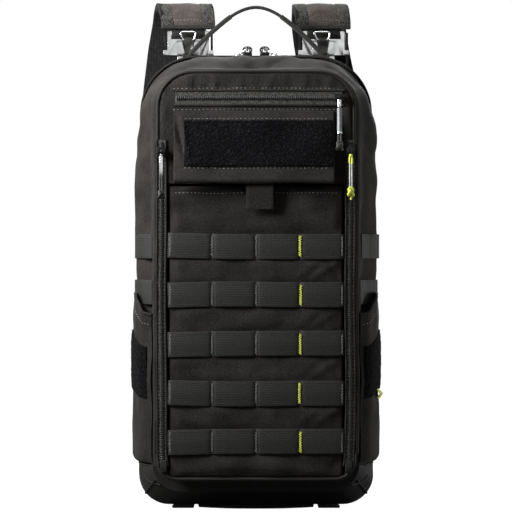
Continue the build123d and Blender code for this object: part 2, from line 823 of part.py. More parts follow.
sternum_x = 50.0
sternum_y = strap_turn_y + 18
sternum_z = turn_z - 128
with BuildPart() as sternum_strap:
    # Clip on the shoulder strap, hanging webbing, buckle half.
    block((sternum_x - 10, sternum_x + 18), (sternum_y, sternum_y + 5), (sternum_z - 8, sternum_z + 8))
    block((sternum_x - 10, sternum_x + 10), (sternum_y, sternum_y + 2), (sternum_z - 58, sternum_z))
    block((sternum_x - 13, sternum_x + 13), (sternum_y - 3, sternum_y + 5), (sternum_z - 84, sternum_z - 56))
    fillet(sternum_strap.edges().filter_by(Axis.Y).group_by(Axis.Z)[0], 5)


def lever(sign):
    """One of a buckle's two release levers, on the side of the buckle given by sign."""
    inner, outer = harness_x + sign * lever_in, harness_x + sign * (lever_in + lever_thick)
    deep = (buckle_y - lever_deep, buckle_y + lever_deep)
    block(sorted((inner, outer)), deep, (lever_low, lever_high))
    with BuildSketch(Plane.XZ.offset(-deep[0])) as foot:
        with Locations((harness_x + sign * (lever_in - 0.4), lever_low + 3.2)):
            Circle(3.2)
    extrude(foot.sketch, amount=-2 * lever_deep)
    block(sorted((harness_x, inner - sign * 0.8)), (0, 200), (0, 600), mode=Mode.SUBTRACT)
    with BuildSketch(Plane.XZ.offset(-deep[0])) as hole:
        with Locations((harness_x + sign * lever_middle, lever_pivot_z)):
            Circle(pin_r + pin_room)
    extrude(hole.sketch, amount=-2 * lever_deep, mode=Mode.SUBTRACT)


for side, name in ((-1, "left"), (1, "right")):
    for builder, piece in (
        (shoulder_strap, "shoulder_strap"),
        (buckle_frame, "buckle_frame"),
        (ladder_lock, "ladder_lock"),
        (sternum_strap, "sternum_strap"),
    ):
        with BuildPart() as placed:
            add(on_side(side, builder.part))
        save(placed, f"{piece}_{name}")
    for sign, place in ((-1, "inner"), (1, "outer")):
        with BuildPart() as release_lever:
            lever(sign)
        with BuildPart() as placed:
            add(on_side(side, release_lever.part))
        save(placed, f"release_lever_{name}_{place}")
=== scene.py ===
# %% [markdown]
# # A trauma backpack
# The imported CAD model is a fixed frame: it says where every piece is, how big it is and how it
# moves. This lesson puts real cloth, webbing, metal and thread round that frame. Every piece is
# modelled in metres in the frame's own place, so nothing needs fitting afterwards.

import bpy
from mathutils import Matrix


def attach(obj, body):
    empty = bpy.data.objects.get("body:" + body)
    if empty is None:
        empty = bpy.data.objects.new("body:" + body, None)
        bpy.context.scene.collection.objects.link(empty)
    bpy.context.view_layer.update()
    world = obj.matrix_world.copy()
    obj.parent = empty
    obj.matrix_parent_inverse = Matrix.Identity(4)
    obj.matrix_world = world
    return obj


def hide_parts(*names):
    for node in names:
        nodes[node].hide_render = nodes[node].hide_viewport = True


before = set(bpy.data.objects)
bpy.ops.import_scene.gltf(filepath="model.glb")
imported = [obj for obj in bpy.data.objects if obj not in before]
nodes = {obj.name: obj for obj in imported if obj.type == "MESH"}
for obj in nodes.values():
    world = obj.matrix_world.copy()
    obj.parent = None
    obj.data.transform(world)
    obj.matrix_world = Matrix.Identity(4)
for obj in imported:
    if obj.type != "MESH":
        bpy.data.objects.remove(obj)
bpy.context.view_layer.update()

# %% [markdown]
# ## Camera and light
# A bag is shown in a catalogue from straight in front, from a long way off, so that its
# straps and pockets keep their true sizes. The camera stands level with the middle of the bag.
# A long lens from 2.7 m does that. A pale floor and a nearly white surrounding give soft light
# all round, and one large lamp from the upper left gives the cloth its shading.

# %% The camera
import math

import bpy
import numpy as np
from mathutils import Vector, noise

MM = 0.001
scene = bpy.context.scene
camera_back = 2684.0  # from the origin, in front of the bag
camera_high = 260.0
lens_data = bpy.data.cameras.new("camera")
lens_data.sensor_width = 36.0
lens_data.lens = lens_data.sensor_width * 2600 / 512  # one millimetre at the front face is one step
camera = bpy.data.objects.new("camera", lens_data)
camera.location = (0, -camera_back * MM, camera_high * MM)
camera.rotation_euler = (math.pi / 2, 0, 0)
scene.collection.objects.link(camera)
scene.camera = camera
scene.view_settings.view_transform = "Standard"
print("lens", round(lens_data.lens, 1), "mm")

# %% A helper that turns sRGB hex colours to linear light
def srgb(code, alpha=1.0):
    """A colour written as in a paint program, as the linear values that shaders use."""
    parts = [int(code[i : i + 2], 16) / 255 for i in (1, 3, 5)]
    return [c / 12.92 if c <= 0.04045 else ((c + 0.055) / 1.055) ** 2.4 for c in parts] + [alpha]


# %% One helper that adds a node
def add_node(tree, kind, values=None, links=None, **settings):
    """Adds a shader node: settings are its properties, values its sockets, links its inputs."""
    node = tree.nodes.new(kind)
    for name, value in settings.items():
        setattr(node, name, value)
    for socket, value in (values or {}).items():
        node.inputs[socket].default_value = value
    for socket, source in (links or {}).items():
        tree.links.new(source, node.inputs[socket])
    return node


# %% Soft studio light
world = bpy.data.worlds.new("studio")
world.use_nodes = True
sky = world.node_tree
sky.nodes["Background"].inputs["Color"].default_value = srgb("#ffffff")
seen = add_node(sky, "ShaderNodeLightPath")
glint = add_node(
    sky, "ShaderNodeMath", {1: 0.6, 2: 0.08}, {0: seen.outputs["Is Glossy Ray"]}, operation="MULTIPLY_ADD"
)
bright = add_node(
    sky, "ShaderNodeMath", {1: 0.92}, {0: seen.outputs["Is Camera Ray"], 2: glint.outputs["Value"]},
    operation="MULTIPLY_ADD",
)
sky.links.new(bright.outputs["Value"], sky.nodes["Background"].inputs["Strength"])
scene.world = world


def lamp(name, spot, aim, size, watts):
    """A square soft box at spot that shines at aim, both in millimetres."""
    data = bpy.data.lights.new(name, "AREA")
    data.size = size * MM
    data.energy = watts
    thing = bpy.data.objects.new(name, data)
    thing.location = Vector(spot) * MM
    thing.rotation_euler = (Vector(aim) - Vector(spot)).to_track_quat("-Z", "Y").to_euler()
    scene.collection.objects.link(thing)


lamp("key_light", (-560, -350, 640), (-20, -60, 280), 320, 13)
lamp("top_light", (-150, 150, 1500), (0, 0, 400), 700, 13.5)
lamp("right_rim", (900, 150, 150), (120, 0, 150), 300, 3.2)
lamp("back_light", (300, 1500, 900), (0, 80, 300), 900, 22)
lamp("front_fill", (0, -2200, 900), (0, 0, 260), 900, 0.7)
print("lamps", len(bpy.data.lights))

# %% [markdown]
# ## A few hand tools
# Every piece below starts as a primitive. These helpers do what a hand does in edit mode: choose
# a piece, choose faces by where they are, add a modifier and apply it, and push points about.

# %% Choosing a piece, and parts of it
def focus(piece):
    """Makes piece the only thing selected, in object mode."""
    if bpy.context.object and bpy.context.object.mode != "OBJECT":
        bpy.ops.object.mode_set(mode="OBJECT")
    bpy.ops.object.select_all(action="DESELECT")
    if piece:
        piece.select_set(True)
        bpy.context.view_layer.objects.active = piece


def pick(piece, kind, test):
    """Edit mode with the VERT, EDGE or FACE elements selected whose middle, in mm, passes test."""
    focus(piece)
    bpy.ops.object.mode_set(mode="EDIT")
    bpy.ops.mesh.select_mode(type=kind)
    bpy.ops.mesh.select_all(action="DESELECT")
    bpy.ops.object.mode_set(mode="OBJECT")
    mesh = piece.data
    spots = places(piece)
    group = {"VERT": mesh.vertices, "EDGE": mesh.edges, "FACE": mesh.polygons}[kind]
    for part in group:
        around = [part.index] if kind == "VERT" else list(part.vertices)
        part.select = bool(test(*spots[around].mean(axis=0)))
    bpy.ops.object.mode_set(mode="EDIT")


def edit_all(piece):
    """Edit mode with everything selected."""
    focus(piece)
    bpy.ops.object.mode_set(mode="EDIT")
    bpy.ops.mesh.select_all(action="SELECT")


# %% Reading and moving points, in millimetres
def places(piece):
    spots = np.empty(len(piece.data.vertices) * 3)
    piece.data.vertices.foreach_get("co", spots)
    return spots.reshape(-1, 3) / MM


def put(piece, spots):
    piece.data.vertices.foreach_set("co", (np.asarray(spots) * MM).ravel())
    piece.data.update()


def facings(piece):
    normals = np.empty(len(piece.data.vertices) * 3)
    piece.data.vertices.foreach_get("normal", normals)
    return normals.reshape(-1, 3)


def ease(value, low, high):
    """0 below low, 1 above high, and a smooth step between them."""
    t = np.clip((np.asarray(value, float) - low) / (high - low), 0, 1)
    return t * t * (3 - 2 * t)


# %% Starting a piece, and applying modifiers to it
def settle(piece, name=None):
    """Puts the object's own place, turn and size into its mesh."""
    focus(piece)
    bpy.ops.object.transform_apply(location=True, rotation=True, scale=True)
    if name:
        piece.name = name
    return piece


def box_between(name, low, high):
    """A cube primitive at its size and place, given by two corners in mm."""
    focus(None)
    middle = [(a + b) / 2 * MM for a, b in zip(low, high)]
    bpy.ops.mesh.primitive_cube_add(size=1, location=middle)
    piece = bpy.context.object
    piece.scale = [(b - a) * MM for a, b in zip(low, high)]
    return settle(piece, name)


def modify(piece, kind, **settings):
    """Adds a modifier with its settings and applies it."""
    focus(piece)
    modifier = piece.modifiers.new(kind.lower(), kind)
    for name, value in settings.items():
        setattr(modifier, name, value)
    bpy.ops.object.modifier_apply(modifier=modifier.name)
    return piece


def bevel_edges(piece, width, steps, test):
    """Rounds the edges whose middle passes test."""
    pick(piece, "EDGE", test)
    bpy.ops.mesh.bevel(offset=width * MM, segments=steps, affect="EDGES")
    bpy.ops.object.mode_set(mode="OBJECT")


def cut_at(piece, spot, facing):
    """Cuts the mesh along a plane, and keeps both sides joined."""
    edit_all(piece)
    bpy.ops.mesh.bisect(plane_co=Vector(spot) * MM, plane_no=facing)
    bpy.ops.object.mode_set(mode="OBJECT")


def remove_faces(piece, test):
    pick(piece, "FACE", test)
    bpy.ops.mesh.delete(type="FACE")
    bpy.ops.object.mode_set(mode="OBJECT")


def copy_of(piece, name):
    twin = piece.copy()
    twin.data = piece.data.copy()
    twin.name = name
    twin.parent = None
    scene.collection.objects.link(twin)
    return twin


def join(pieces, name):
    focus(pieces[0])
    for piece in pieces:
        piece.select_set(True)
    bpy.ops.object.join()
    pieces[0].name = name
    return pieces[0]


print("tools ready")

# %% Dressing a finished piece
def dress(piece, material, body, replaced=(), angle=40):
    """Gives a piece its material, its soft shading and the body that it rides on."""
    focus(piece)
    if material:
        piece.data.materials.clear()
        piece.data.materials.append(material)
    bpy.ops.object.shade_smooth_by_angle(angle=math.radians(angle))
    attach(piece, body)
    if replaced:
        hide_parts(*replaced)
    return piece


# %% [markdown]
# ## Cloth finishes
# The bag is woven nylon with a coating behind: dull, nearly black, a little brown, and speckled
# because its threads catch the light one by one. A plain weave is an egg-crate of threads. Two
# or three sine waves across the piece's own X, Y and Z give that on a face turned any way, so
# no unwrapping is needed. The threads are about 0.6 mm apart in the real cloth, which is too
# fine to show from 2.7 m, so they are drawn at 1.5 mm.

# %% A woven cloth
def finish(name, slot, **sockets):
    """A new material with a Principled shader; returns it, its tree, shader and coordinates."""
    material = bpy.data.materials.new(name)
    material.use_nodes = True
    tree = material.node_tree
    shader = tree.nodes["Principled BSDF"]
    for socket, value in sockets.items():
        shader.inputs[socket.replace("_", " ")].default_value = value
    where = add_node(tree, "ShaderNodeTexCoord")
    return material, tree, shader, where


def woven(name, slot, dark, light, thread=1.5, mottle=35.0, fleck=0.5, rough=0.85, lift=0.35, sheen=0.04):
    """Woven nylon: a mottle in mm, single flecked threads, and an egg-crate bump of threads."""
    material, tree, shader, where = finish(
        name, slot, Roughness=rough, Sheen_Weight=sheen, Sheen_Roughness=0.5, Specular_IOR_Level=0.16
    )
    spots = where.outputs["Object"]
    cloud = add_node(
        tree, "ShaderNodeTexNoise", {"Scale": 1 / (mottle * MM), "Detail": 3.0}, {"Vector": spots}
    )
    threads = add_node(
        tree, "ShaderNodeTexNoise", {"Scale": 1 / (thread * MM), "Detail": 1.0}, {"Vector": spots}
    )
    blend = add_node(
        tree, "ShaderNodeMix", {"Factor": fleck},
        {"A": cloud.outputs["Fac"], "B": threads.outputs["Fac"]},
    )
    ramp = add_node(tree, "ShaderNodeValToRGB", links={"Fac": blend.outputs["Result"]})
    ramp.color_ramp.elements[0].position = 0.35
    ramp.color_ramp.elements[0].color = srgb(dark)
    ramp.color_ramp.elements[1].position = 0.66
    ramp.color_ramp.elements[1].color = srgb(light)
    tree.links.new(ramp.outputs["Color"], shader.inputs["Base Color"])
    turn = 2 * math.pi / (thread * MM)
    spun = add_node(
        tree, "ShaderNodeVectorMath", {1: (turn, turn, turn)}, {0: spots}, operation="MULTIPLY"
    )
    waves = add_node(tree, "ShaderNodeVectorMath", links={0: spun.outputs[0]}, operation="SINE")
    crate = add_node(
        tree, "ShaderNodeVectorMath", {1: (1, 1, 1)}, {0: waves.outputs[0]}, operation="DOT_PRODUCT"
    )
    rough_cloth = add_node(
        tree, "ShaderNodeMath", {1: 0.22}, {0: crate.outputs["Value"], 2: threads.outputs["Fac"]},
        operation="MULTIPLY_ADD",
    )
    bump = add_node(
        tree, "ShaderNodeBump", {"Strength": lift, "Distance": 0.35 * MM},
        {"Height": rough_cloth.outputs["Value"]},
    )
    tree.links.new(bump.outputs["Normal"], shader.inputs["Normal"])
    return material


pack_cloth = woven("woven_nylon_black", "pack_fabric", "#0f0e0d", "#2d2a28")
lining_cloth = woven("coated_lining_grey", "coated_fabric", "#33312f", "#45423f", fleck=0.3, lift=0.15)
boot_cloth = woven(
    "coated_nylon_black", "coated_fabric", "#131211", "#221f1e", fleck=0.25, rough=0.6, lift=0.15
)
strap_cloth = woven("brushed_nylon_brown", "strap_fabric", "#322d2a", "#514a46", mottle=18.0, fleck=0.55)
knit_cloth = woven(
    "knitted_spacer_mesh", "spacer_mesh", "#070708", "#1a1a1b", thread=3.0, fleck=0.75, lift=0.9
)
band_cloth = woven(
    "melange_binding", "webbing", "#171716", "#4b4a48", thread=1.5, mottle=6.0, fleck=0.75, lift=0.5
)
tape_cloth = woven("woven_zip_tape", "zip_tape", "#1f201e", "#4e4e4a", thread=1.6, mottle=5.0, fleck=0.75)

# %% [markdown]
# Loop fabric, the soft half of a hook-and-loop fastener, is a deep black pile of tiny loops. It
# swallows light, and single loops glint as pale specks. A cell pattern gives the loops and a
# high sheen gives the fuzz at its edges.

# %% Loop pile
def loop_pile():
    material, tree, shader, where = finish(
        "loop_pile_black", "loop_pile", Roughness=0.95, Sheen_Weight=0.02, Sheen_Roughness=0.4,
        Specular_IOR_Level=0.08,
    )
    loops = add_node(
        tree, "ShaderNodeTexVoronoi", {"Scale": 1 / (1.7 * MM)}, {"Vector": where.outputs["Object"]}
    )
    specks = add_node(
        tree, "ShaderNodeTexNoise", {"Scale": 1 / (1.6 * MM), "Detail": 2.0},
        {"Vector": where.outputs["Object"]},
    )
    ramp = add_node(tree, "ShaderNodeValToRGB", links={"Fac": specks.outputs["Fac"]})
    stops = ramp.color_ramp.elements
    stops[0].position, stops[0].color = 0.52, srgb("#030304")
    stops[1].position, stops[1].color = 0.78, srgb("#222326")
    bump = add_node(
        tree, "ShaderNodeBump", {"Strength": 0.9, "Distance": 0.8 * MM},
        {"Height": loops.outputs["Distance"]}, invert=True,
    )
    tree.links.new(ramp.outputs["Color"], shader.inputs["Base Color"])
    tree.links.new(bump.outputs["Normal"], shader.inputs["Normal"])
    return material


pile = loop_pile()

# %% [markdown]
# Webbing is a flat band woven in fine ribs. Seen close, ribs run along it and the weft crosses
# them in short steps. That pattern follows the band wherever it goes, so it reads the band's own
# UV map, which holds metres along and across it. The ribs are 1.2 mm apart in real webbing and
# drawn at 1.7 mm.

# %% Webbing, ribbed along its length
def webbing(name, slot, dark, light, rib=1.7, rough=0.65):
    material, tree, shader, where = finish(
        name, slot, Roughness=rough, Sheen_Weight=0.04, Specular_IOR_Level=0.2
    )
    spun = add_node(
        tree, "ShaderNodeVectorMath",
        {1: (2 * math.pi / (2.6 * MM), 2 * math.pi / (rib * MM), 0)}, {0: where.outputs["UV"]},
        operation="MULTIPLY",
    )
    waves = add_node(tree, "ShaderNodeVectorMath", links={0: spun.outputs[0]}, operation="SINE")
    ribs = add_node(
        tree, "ShaderNodeVectorMath", {1: (0.1, 0.4, 0)}, {0: waves.outputs[0]},
        operation="DOT_PRODUCT",
    )
    flecks = add_node(
        tree, "ShaderNodeTexNoise", {"Scale": 1 / (1.3 * MM), "Detail": 2.0},
        {"Vector": where.outputs["Object"]},
    )
    height = add_node(
        tree, "ShaderNodeMath", {1: 0.5}, {0: ribs.outputs["Value"], 2: flecks.outputs["Fac"]},
        operation="MULTIPLY_ADD",
    )
    ramp = add_node(tree, "ShaderNodeValToRGB", links={"Fac": height.outputs["Value"]})
    stops = ramp.color_ramp.elements
    stops[0].position, stops[0].color = 0.25, srgb(dark)
    stops[1].position, stops[1].color = 0.8, srgb(light)
    bump = add_node(
        tree, "ShaderNodeBump", {"Strength": 0.35, "Distance": 0.3 * MM},
        {"Height": height.outputs["Value"]},
    )
    tree.links.new(ramp.outputs["Color"], shader.inputs["Base Color"])
    tree.links.new(bump.outputs["Normal"], shader.inputs["Normal"])
    return material


web_cloth = webbing("nylon_webbing_black", "webbing", "#131412", "#30312e")
print("webbing", web_cloth.name)

# %% [markdown]
# Thread, cord and moulded plastic differ from cloth by their gloss. Bonded thread is a twisted
# filament with a satin shine. Acetal is injection moulded and nearly black, with a fine grain.
# The buckles are die-cast alloy polished to a mirror, and the sliders are zinc with black plate,
# worn a little on their edges. Metals keep the default refraction value.

# %% Thread, plastic, metal and sheet finishes
def fine(name, slot, dark, light, grain, lift, **sockets):
    """A finish whose colour and bump vary with one fine noise, grain mm across."""
    material, tree, shader, where = finish(name, slot, **sockets)
    speck = add_node(
        tree, "ShaderNodeTexNoise", {"Scale": 1 / (grain * MM), "Detail": 4.0},
        {"Vector": where.outputs["Object"]},
    )
    ramp = add_node(tree, "ShaderNodeValToRGB", links={"Fac": speck.outputs["Fac"]})
    stops = ramp.color_ramp.elements
    stops[0].position, stops[0].color = 0.35, srgb(dark)
    stops[1].position, stops[1].color = 0.65, srgb(light)
    bump = add_node(
        tree, "ShaderNodeBump", {"Strength": lift, "Distance": 0.2 * MM},
        {"Height": speck.outputs["Fac"]},
    )
    tree.links.new(ramp.outputs["Color"], shader.inputs["Base Color"])
    tree.links.new(bump.outputs["Normal"], shader.inputs["Normal"])
    return material


lime_thread = fine("bonded_thread_lime", "lime_thread", "#c6d63a", "#e6f25e", 1.2, 0.3, Roughness=0.5)
grey_thread = fine("bonded_thread_grey", "webbing", "#55564f", "#8b8c84", 1.5, 0.3, Roughness=0.5)
black_thread = fine("bonded_thread_black", "webbing", "#0c0c0c", "#1e1e1d", 1.5, 0.3, Roughness=0.5)
black_cord = fine("braided_cord_black", "pull_cord", "#141414", "#2c2c2b", 1.0, 0.6, Roughness=0.6)
pale_cord = fine("braided_cord_grey", "pull_cord", "#8f908c", "#cfd0cb", 1.0, 0.6, Roughness=0.6)
grey_tube = fine("rubber_sleeve_grey", "pull_cord", "#6d7072", "#85888a", 3.0, 0.2, Roughness=0.45)
black_zinc = fine(
    "black_plated_zinc", "black_zinc", "#1b1b1c", "#2c2c2d", 2.0, 0.15, Roughness=0.32, Metallic=0.85
)
bright_alloy = fine(
    "die_cast_alloy_polished", "polished_alloy", "#c9cacb", "#dededf", 8.0, 0.06, Roughness=0.16,
    Metallic=1.0
)
acetal = fine("moulded_acetal_black", "black_acetal", "#101011", "#1a1a1b", 0.8, 0.12, Roughness=0.38)
board = fine("polythene_board", "frame_board", "#c4c4be", "#d8d8d2", 4.0, 0.2, Roughness=0.5)

# %% [markdown]
# ## The bag's skin
# The bag is a lofted shell of cloth over foam. Its outline is a rounded rectangle that is small
# at the front, full at the main zip and a little smaller at the back. Four flat outlines are
# bridged into one closed form, remeshed into even squares, and blown up a little as cloth, so
# that the walls belly out between their seams as a packed bag's do. The seams stay where they
# are. Then it is cut at the main zip and at the lid's fold.

# %% A rounded outline across the bag
def outline(y, half, low, high, upper, lower):
    """A plane across the bag at depth y with its upper and lower corners rounded."""
    focus(None)
    middle = Vector((0, y, (low + high) / 2)) * MM
    bpy.ops.mesh.primitive_plane_add(size=1, location=middle, rotation=(math.pi / 2, 0, 0))
    piece = bpy.context.object
    piece.scale = (2 * half * MM, (high - low) * MM, 1)
    settle(piece)
    for radius, end in ((upper, high), (lower, low)):
        pick(piece, "VERT", lambda x, y, z: abs(z - end) < 0.1)
        bpy.ops.mesh.bevel(offset=radius * MM, segments=10, affect="VERTICES")
        bpy.ops.object.mode_set(mode="OBJECT")
    edit_all(piece)
    bpy.ops.mesh.delete(type="ONLY_FACE")
    bpy.ops.object.mode_set(mode="OBJECT")
    return piece


def bag_form(name, grow):
    """The closed form of the whole bag, grown by a distance in mm."""
    stations = (
        (-42 - grow, 104, 22, 450, 41, 28),
        (-12, 119, 6.2, 460, 58, 30),
        (38, 119, 6.2, 467, 58, 30),
        (80 + grow, 114, 12.2, 457, 52, 30),
    )
    rings = [
        outline(y, half + grow, low - grow, high + grow, upper + grow, lower + grow)
        for y, half, low, high, upper, lower in stations
    ]
    form = join(rings, name)
    depths = [station[0] for station in stations]
    for near, far in zip(depths, depths[1:]):
        pick(form, "EDGE", lambda x, y, z: min(abs(y - near), abs(y - far)) < 0.1)
        bpy.ops.mesh.bridge_edge_loops()
    for end in (depths[0], depths[-1]):
        pick(form, "EDGE", lambda x, y, z: abs(y - end) < 0.1)
        bpy.ops.mesh.edge_face_add()
    edit_all(form)
    bpy.ops.mesh.normals_make_consistent(inside=False)
    bpy.ops.object.mode_set(mode="OBJECT")
    return form


# %% Blowing a form up as cloth
def remesh(piece, size):
    """Even squares of size mm all over a closed form."""
    return modify(piece, "REMESH", mode="VOXEL", voxel_size=size * MM)


def puff(piece, cap, hold=None, pressure=4.0):
    """Inflates a closed form as cloth. No point moves more than cap mm, times hold at its place."""
    before = places(piece)
    focus(piece)
    cloth = piece.modifiers.new("cloth", "CLOTH")
    cloth.settings.quality = 4
    cloth.settings.use_pressure = True
    cloth.settings.uniform_pressure_force = pressure
    cloth.settings.effector_weights.gravity = 0
    cloth.point_cache.frame_start, cloth.point_cache.frame_end = 1, 20
    for tick in range(1, 21):
        scene.frame_set(tick)
    swollen = piece.evaluated_get(bpy.context.evaluated_depsgraph_get())
    moved = np.empty(len(swollen.data.vertices) * 3)
    swollen.data.vertices.foreach_get("co", moved)
    moved = moved.reshape(-1, 3) / MM
    piece.modifiers.clear()
    scene.frame_set(1)
    step = moved - before
    far = np.linalg.norm(step, axis=1, keepdims=True)
    step *= np.minimum(1, cap / np.maximum(far, 1e-9))
    if hold is not None:
        step *= hold(*before.T)[:, None]
    put(piece, before + step)
    print(piece.name, "swelled by up to", round(float(np.linalg.norm(step, axis=1).max()), 1), "mm")
    return piece


# %% Folds and puckers
def ripple(piece, amount, size, seed, stretch=(1, 1, 1), hold=None):
    """Moves points in and out along their normals by a smooth seeded noise."""
    spots, out = places(piece), facings(piece)
    scale = np.array(stretch, float) / size
    shift = Vector((seed * 7.3, seed * 3.1, seed * 5.7))
    wave = np.array([noise.noise(Vector(spot * scale) + shift) for spot in spots])
    if hold is not None:
        wave *= hold(*spots.T)
    put(piece, spots + out * (wave * amount)[:, None])


def crease(piece, lines, hold=None):
    """Presses folds into a front face: each line is x0, z0, x1, z1, width and height in mm."""
    spots = places(piece)
    lift = np.zeros(len(spots))
    flat = spots[:, [0, 2]]
    for x0, z0, x1, z1, width, height in lines:
        start, run = np.array((x0, z0)), np.array((x1 - x0, z1 - z0), float)
        t = np.clip((flat - start) @ run / (run @ run), 0, 1)
        gap = np.linalg.norm(flat - start - t[:, None] * run, axis=1)
        lift += height * np.exp(-((gap / width) ** 2)) * np.sin(np.pi * (0.08 + 0.84 * t))
    if hold is not None:
        lift *= hold(*spots.T)
    spots[:, 1] -= lift
    put(piece, spots)


# %% The bag's form, swollen between its seams
bag = remesh(bag_form("bag", -0.5), 4.2)


def bag_hold(x, y, z):
    """Nothing moves on the front face, at the zip, on the back panel or at the base."""
    walls = ease(y, -40, -20) * ease(-y, -78, -64)
    return walls * ease(np.abs(y - 38), 3, 24) * ease(z, 46, 80)


puff(bag, 6.5, bag_hold)
ripple(bag, 3.2, 42, 3, (1, 0.5, 1), bag_hold)
ripple(bag, 2.2, 17, 5, (1.2, 0.5, 0.8), bag_hold)
print("bag", len(bag.data.polygons), "squares")

# %% [markdown]
# The two halves are copies of that one form. The root keeps all in front of the zip and the
# base. The lid keeps what is behind. Each is a single layer, so a thickness is added inwards,
# with the grey lining as its second material.

# %% Cut at the main zip and the lid's fold
zip_y = 38.0
lid_low = 50.0
wall = 2.6


def line_inside(piece, inner, thick=wall):
    """Gives a skin its thickness inwards, lined with a second cloth."""
    piece.data.materials.append(inner)
    return modify(
        piece, "SOLIDIFY", thickness=thick * MM, offset=-1, material_offset=1, use_quality_normals=True
    )


def bag_half(name, keep_lid):
    half = copy_of(bag, name)
    cut_at(half, (0, zip_y + 0.15, 0), (0, 1, 0))
    cut_at(half, (0, 0, lid_low + 0.15), (0, 0, 1))
    remove_faces(half, lambda x, y, z: ((y > zip_y + 0.15) and (z > lid_low + 0.15)) != keep_lid)
    half.data.materials.append(pack_cloth)
    return line_inside(half, lining_cloth)


main_skin = bag_half("main_skin", False)
back_skin = bag_half("back_skin", True)
dress(main_skin, None, "bag", ["main_shell"])
dress(back_skin, None, "back_lid", ["back_shell"])
print("main skin", len(main_skin.data.polygons), "back skin", len(back_skin.data.polygons))

# %% [markdown]
# ## The front compartment
# It is a shallow box sewn to the front of the bag, with a round-cornered border that is piped.
# Its front face has a tall window that the drop-down panel closes. The border's cloth is drawn
# in by the piping, so the gusset puckers.

# %% The compartment's skin with its window
gusset = box_between("compartment_skin", (-98.6, -83.4, 36.4), (98.6, -42.2, 444.6))
bevel_edges(gusset, 36, 10, lambda x, y, z: abs(abs(x) - 98.6) < 1 and z > 440 and y < 0 and -70 < y < -50)
bevel_edges(gusset, 20, 8, lambda x, y, z: abs(abs(x) - 98.6) < 1 and z < 40 and -70 < y < -50)
bevel_edges(gusset, 4, 3, lambda x, y, z: y < -83)
remesh(gusset, 3.6)
gusset_wall = lambda x, y, z: ease(y, -80, -70) * ease(-y, 44, 52)
puff(gusset, 3.0, gusset_wall)
ripple(gusset, 2.2, 20, 11, (1, 0.4, 1), gusset_wall)
upper_face = lambda x, y, z: ease(-y, 81, 83) * ease(z, 336, 350) * ease(-np.abs(x), -90, -80)
ripple(gusset, 1.6, 38, 12, (0.6, 1, 1.4), upper_face)
puckers = []
for k, px in enumerate((-70, -58, -43, -30, -14, 2, 17, 33, 49, 62, 76)):
    lean, deep = (4, -5, 3, 6, -3, 5, -6, 2, -4, 6, -3)[k], (1.5, -1.3, 1.8, -1.0, 1.6, -1.4)[k % 6]
    puckers.append((px, 441, px + lean, 427 - 3 * (k % 3), 2.3, deep))
puckers += [(-88, 425, -93, 395, 3.0, 1.4), (90, 420, 94, 388, 3.0, 1.3), (-84, 436, -92, 410, 2.2, -1.4)]
crease(gusset, puckers, lambda x, y, z: ease(-y, 80, 83))
cut_at(gusset, (0, -76, 0), (0, 1, 0))
for spot, facing in (
    ((-89.5, 0, 0), (1, 0, 0)), ((89.5, 0, 0), (1, 0, 0)),
    ((0, 0, 37.5), (0, 0, 1)), ((0, 0, 332.5), (0, 0, 1)),
):
    cut_at(gusset, spot, facing)
remove_faces(gusset, lambda x, y, z: y < -76 and abs(x) < 89.5 and 37.5 < z < 332.5)
remove_faces(gusset, lambda x, y, z: y > -43.6)
gusset.data.materials.append(pack_cloth)
line_inside(gusset, lining_cloth, 2.0)
dress(gusset, None, "bag", ["front_pocket_shell"])
print("compartment", len(gusset.data.polygons))

# %% [markdown]
# ## Straps, tapes and cords
# A strap is a flat grid laid along a smooth line and then given its thickness, and its UV map
# holds metres along and across, for the webbing's ribs. A cord is a thin closed tube along such
# a line. Both are directed by a few points, joined by one smooth curve.

# %% A smooth line through a few points
def smooth_line(route, count):
    """count points, evenly spaced, on a smooth curve through the route's points in mm."""
    route = np.array(route, float)
    if len(route) == 2:
        return route[0] + np.linspace(0, 1, count)[:, None] * (route[1] - route[0])
    ends = np.vstack([2 * route[0] - route[1], route, 2 * route[-1] - route[-2]])
    t = np.linspace(0, 1, 24, endpoint=False)[:, None]
    bits = []
    for a, b, c, d in zip(ends, ends[1:], ends[2:], ends[3:]):
        # Each slope is weighed by the run beside it, so a long run doesn't overshoot a short one.
        before, run, after = (np.linalg.norm(step) + 1e-9 for step in (b - a, c - b, d - c))
        leave, arrive = (c - a) * run / (before + run), (d - b) * run / (run + after)
        bits.append(
            (2 * t**3 - 3 * t**2 + 1) * b + (t**3 - 2 * t**2 + t) * leave
            + (3 * t**2 - 2 * t**3) * c + (t**3 - t**2) * arrive
        )
    line = np.vstack(bits + [route[-1:]])
    along = np.r_[0, np.cumsum(np.linalg.norm(np.diff(line, axis=0), axis=1))]
    even = np.linspace(0, along[-1], count)
    return np.column_stack([np.interp(even, along, line[:, axis]) for axis in range(3)])


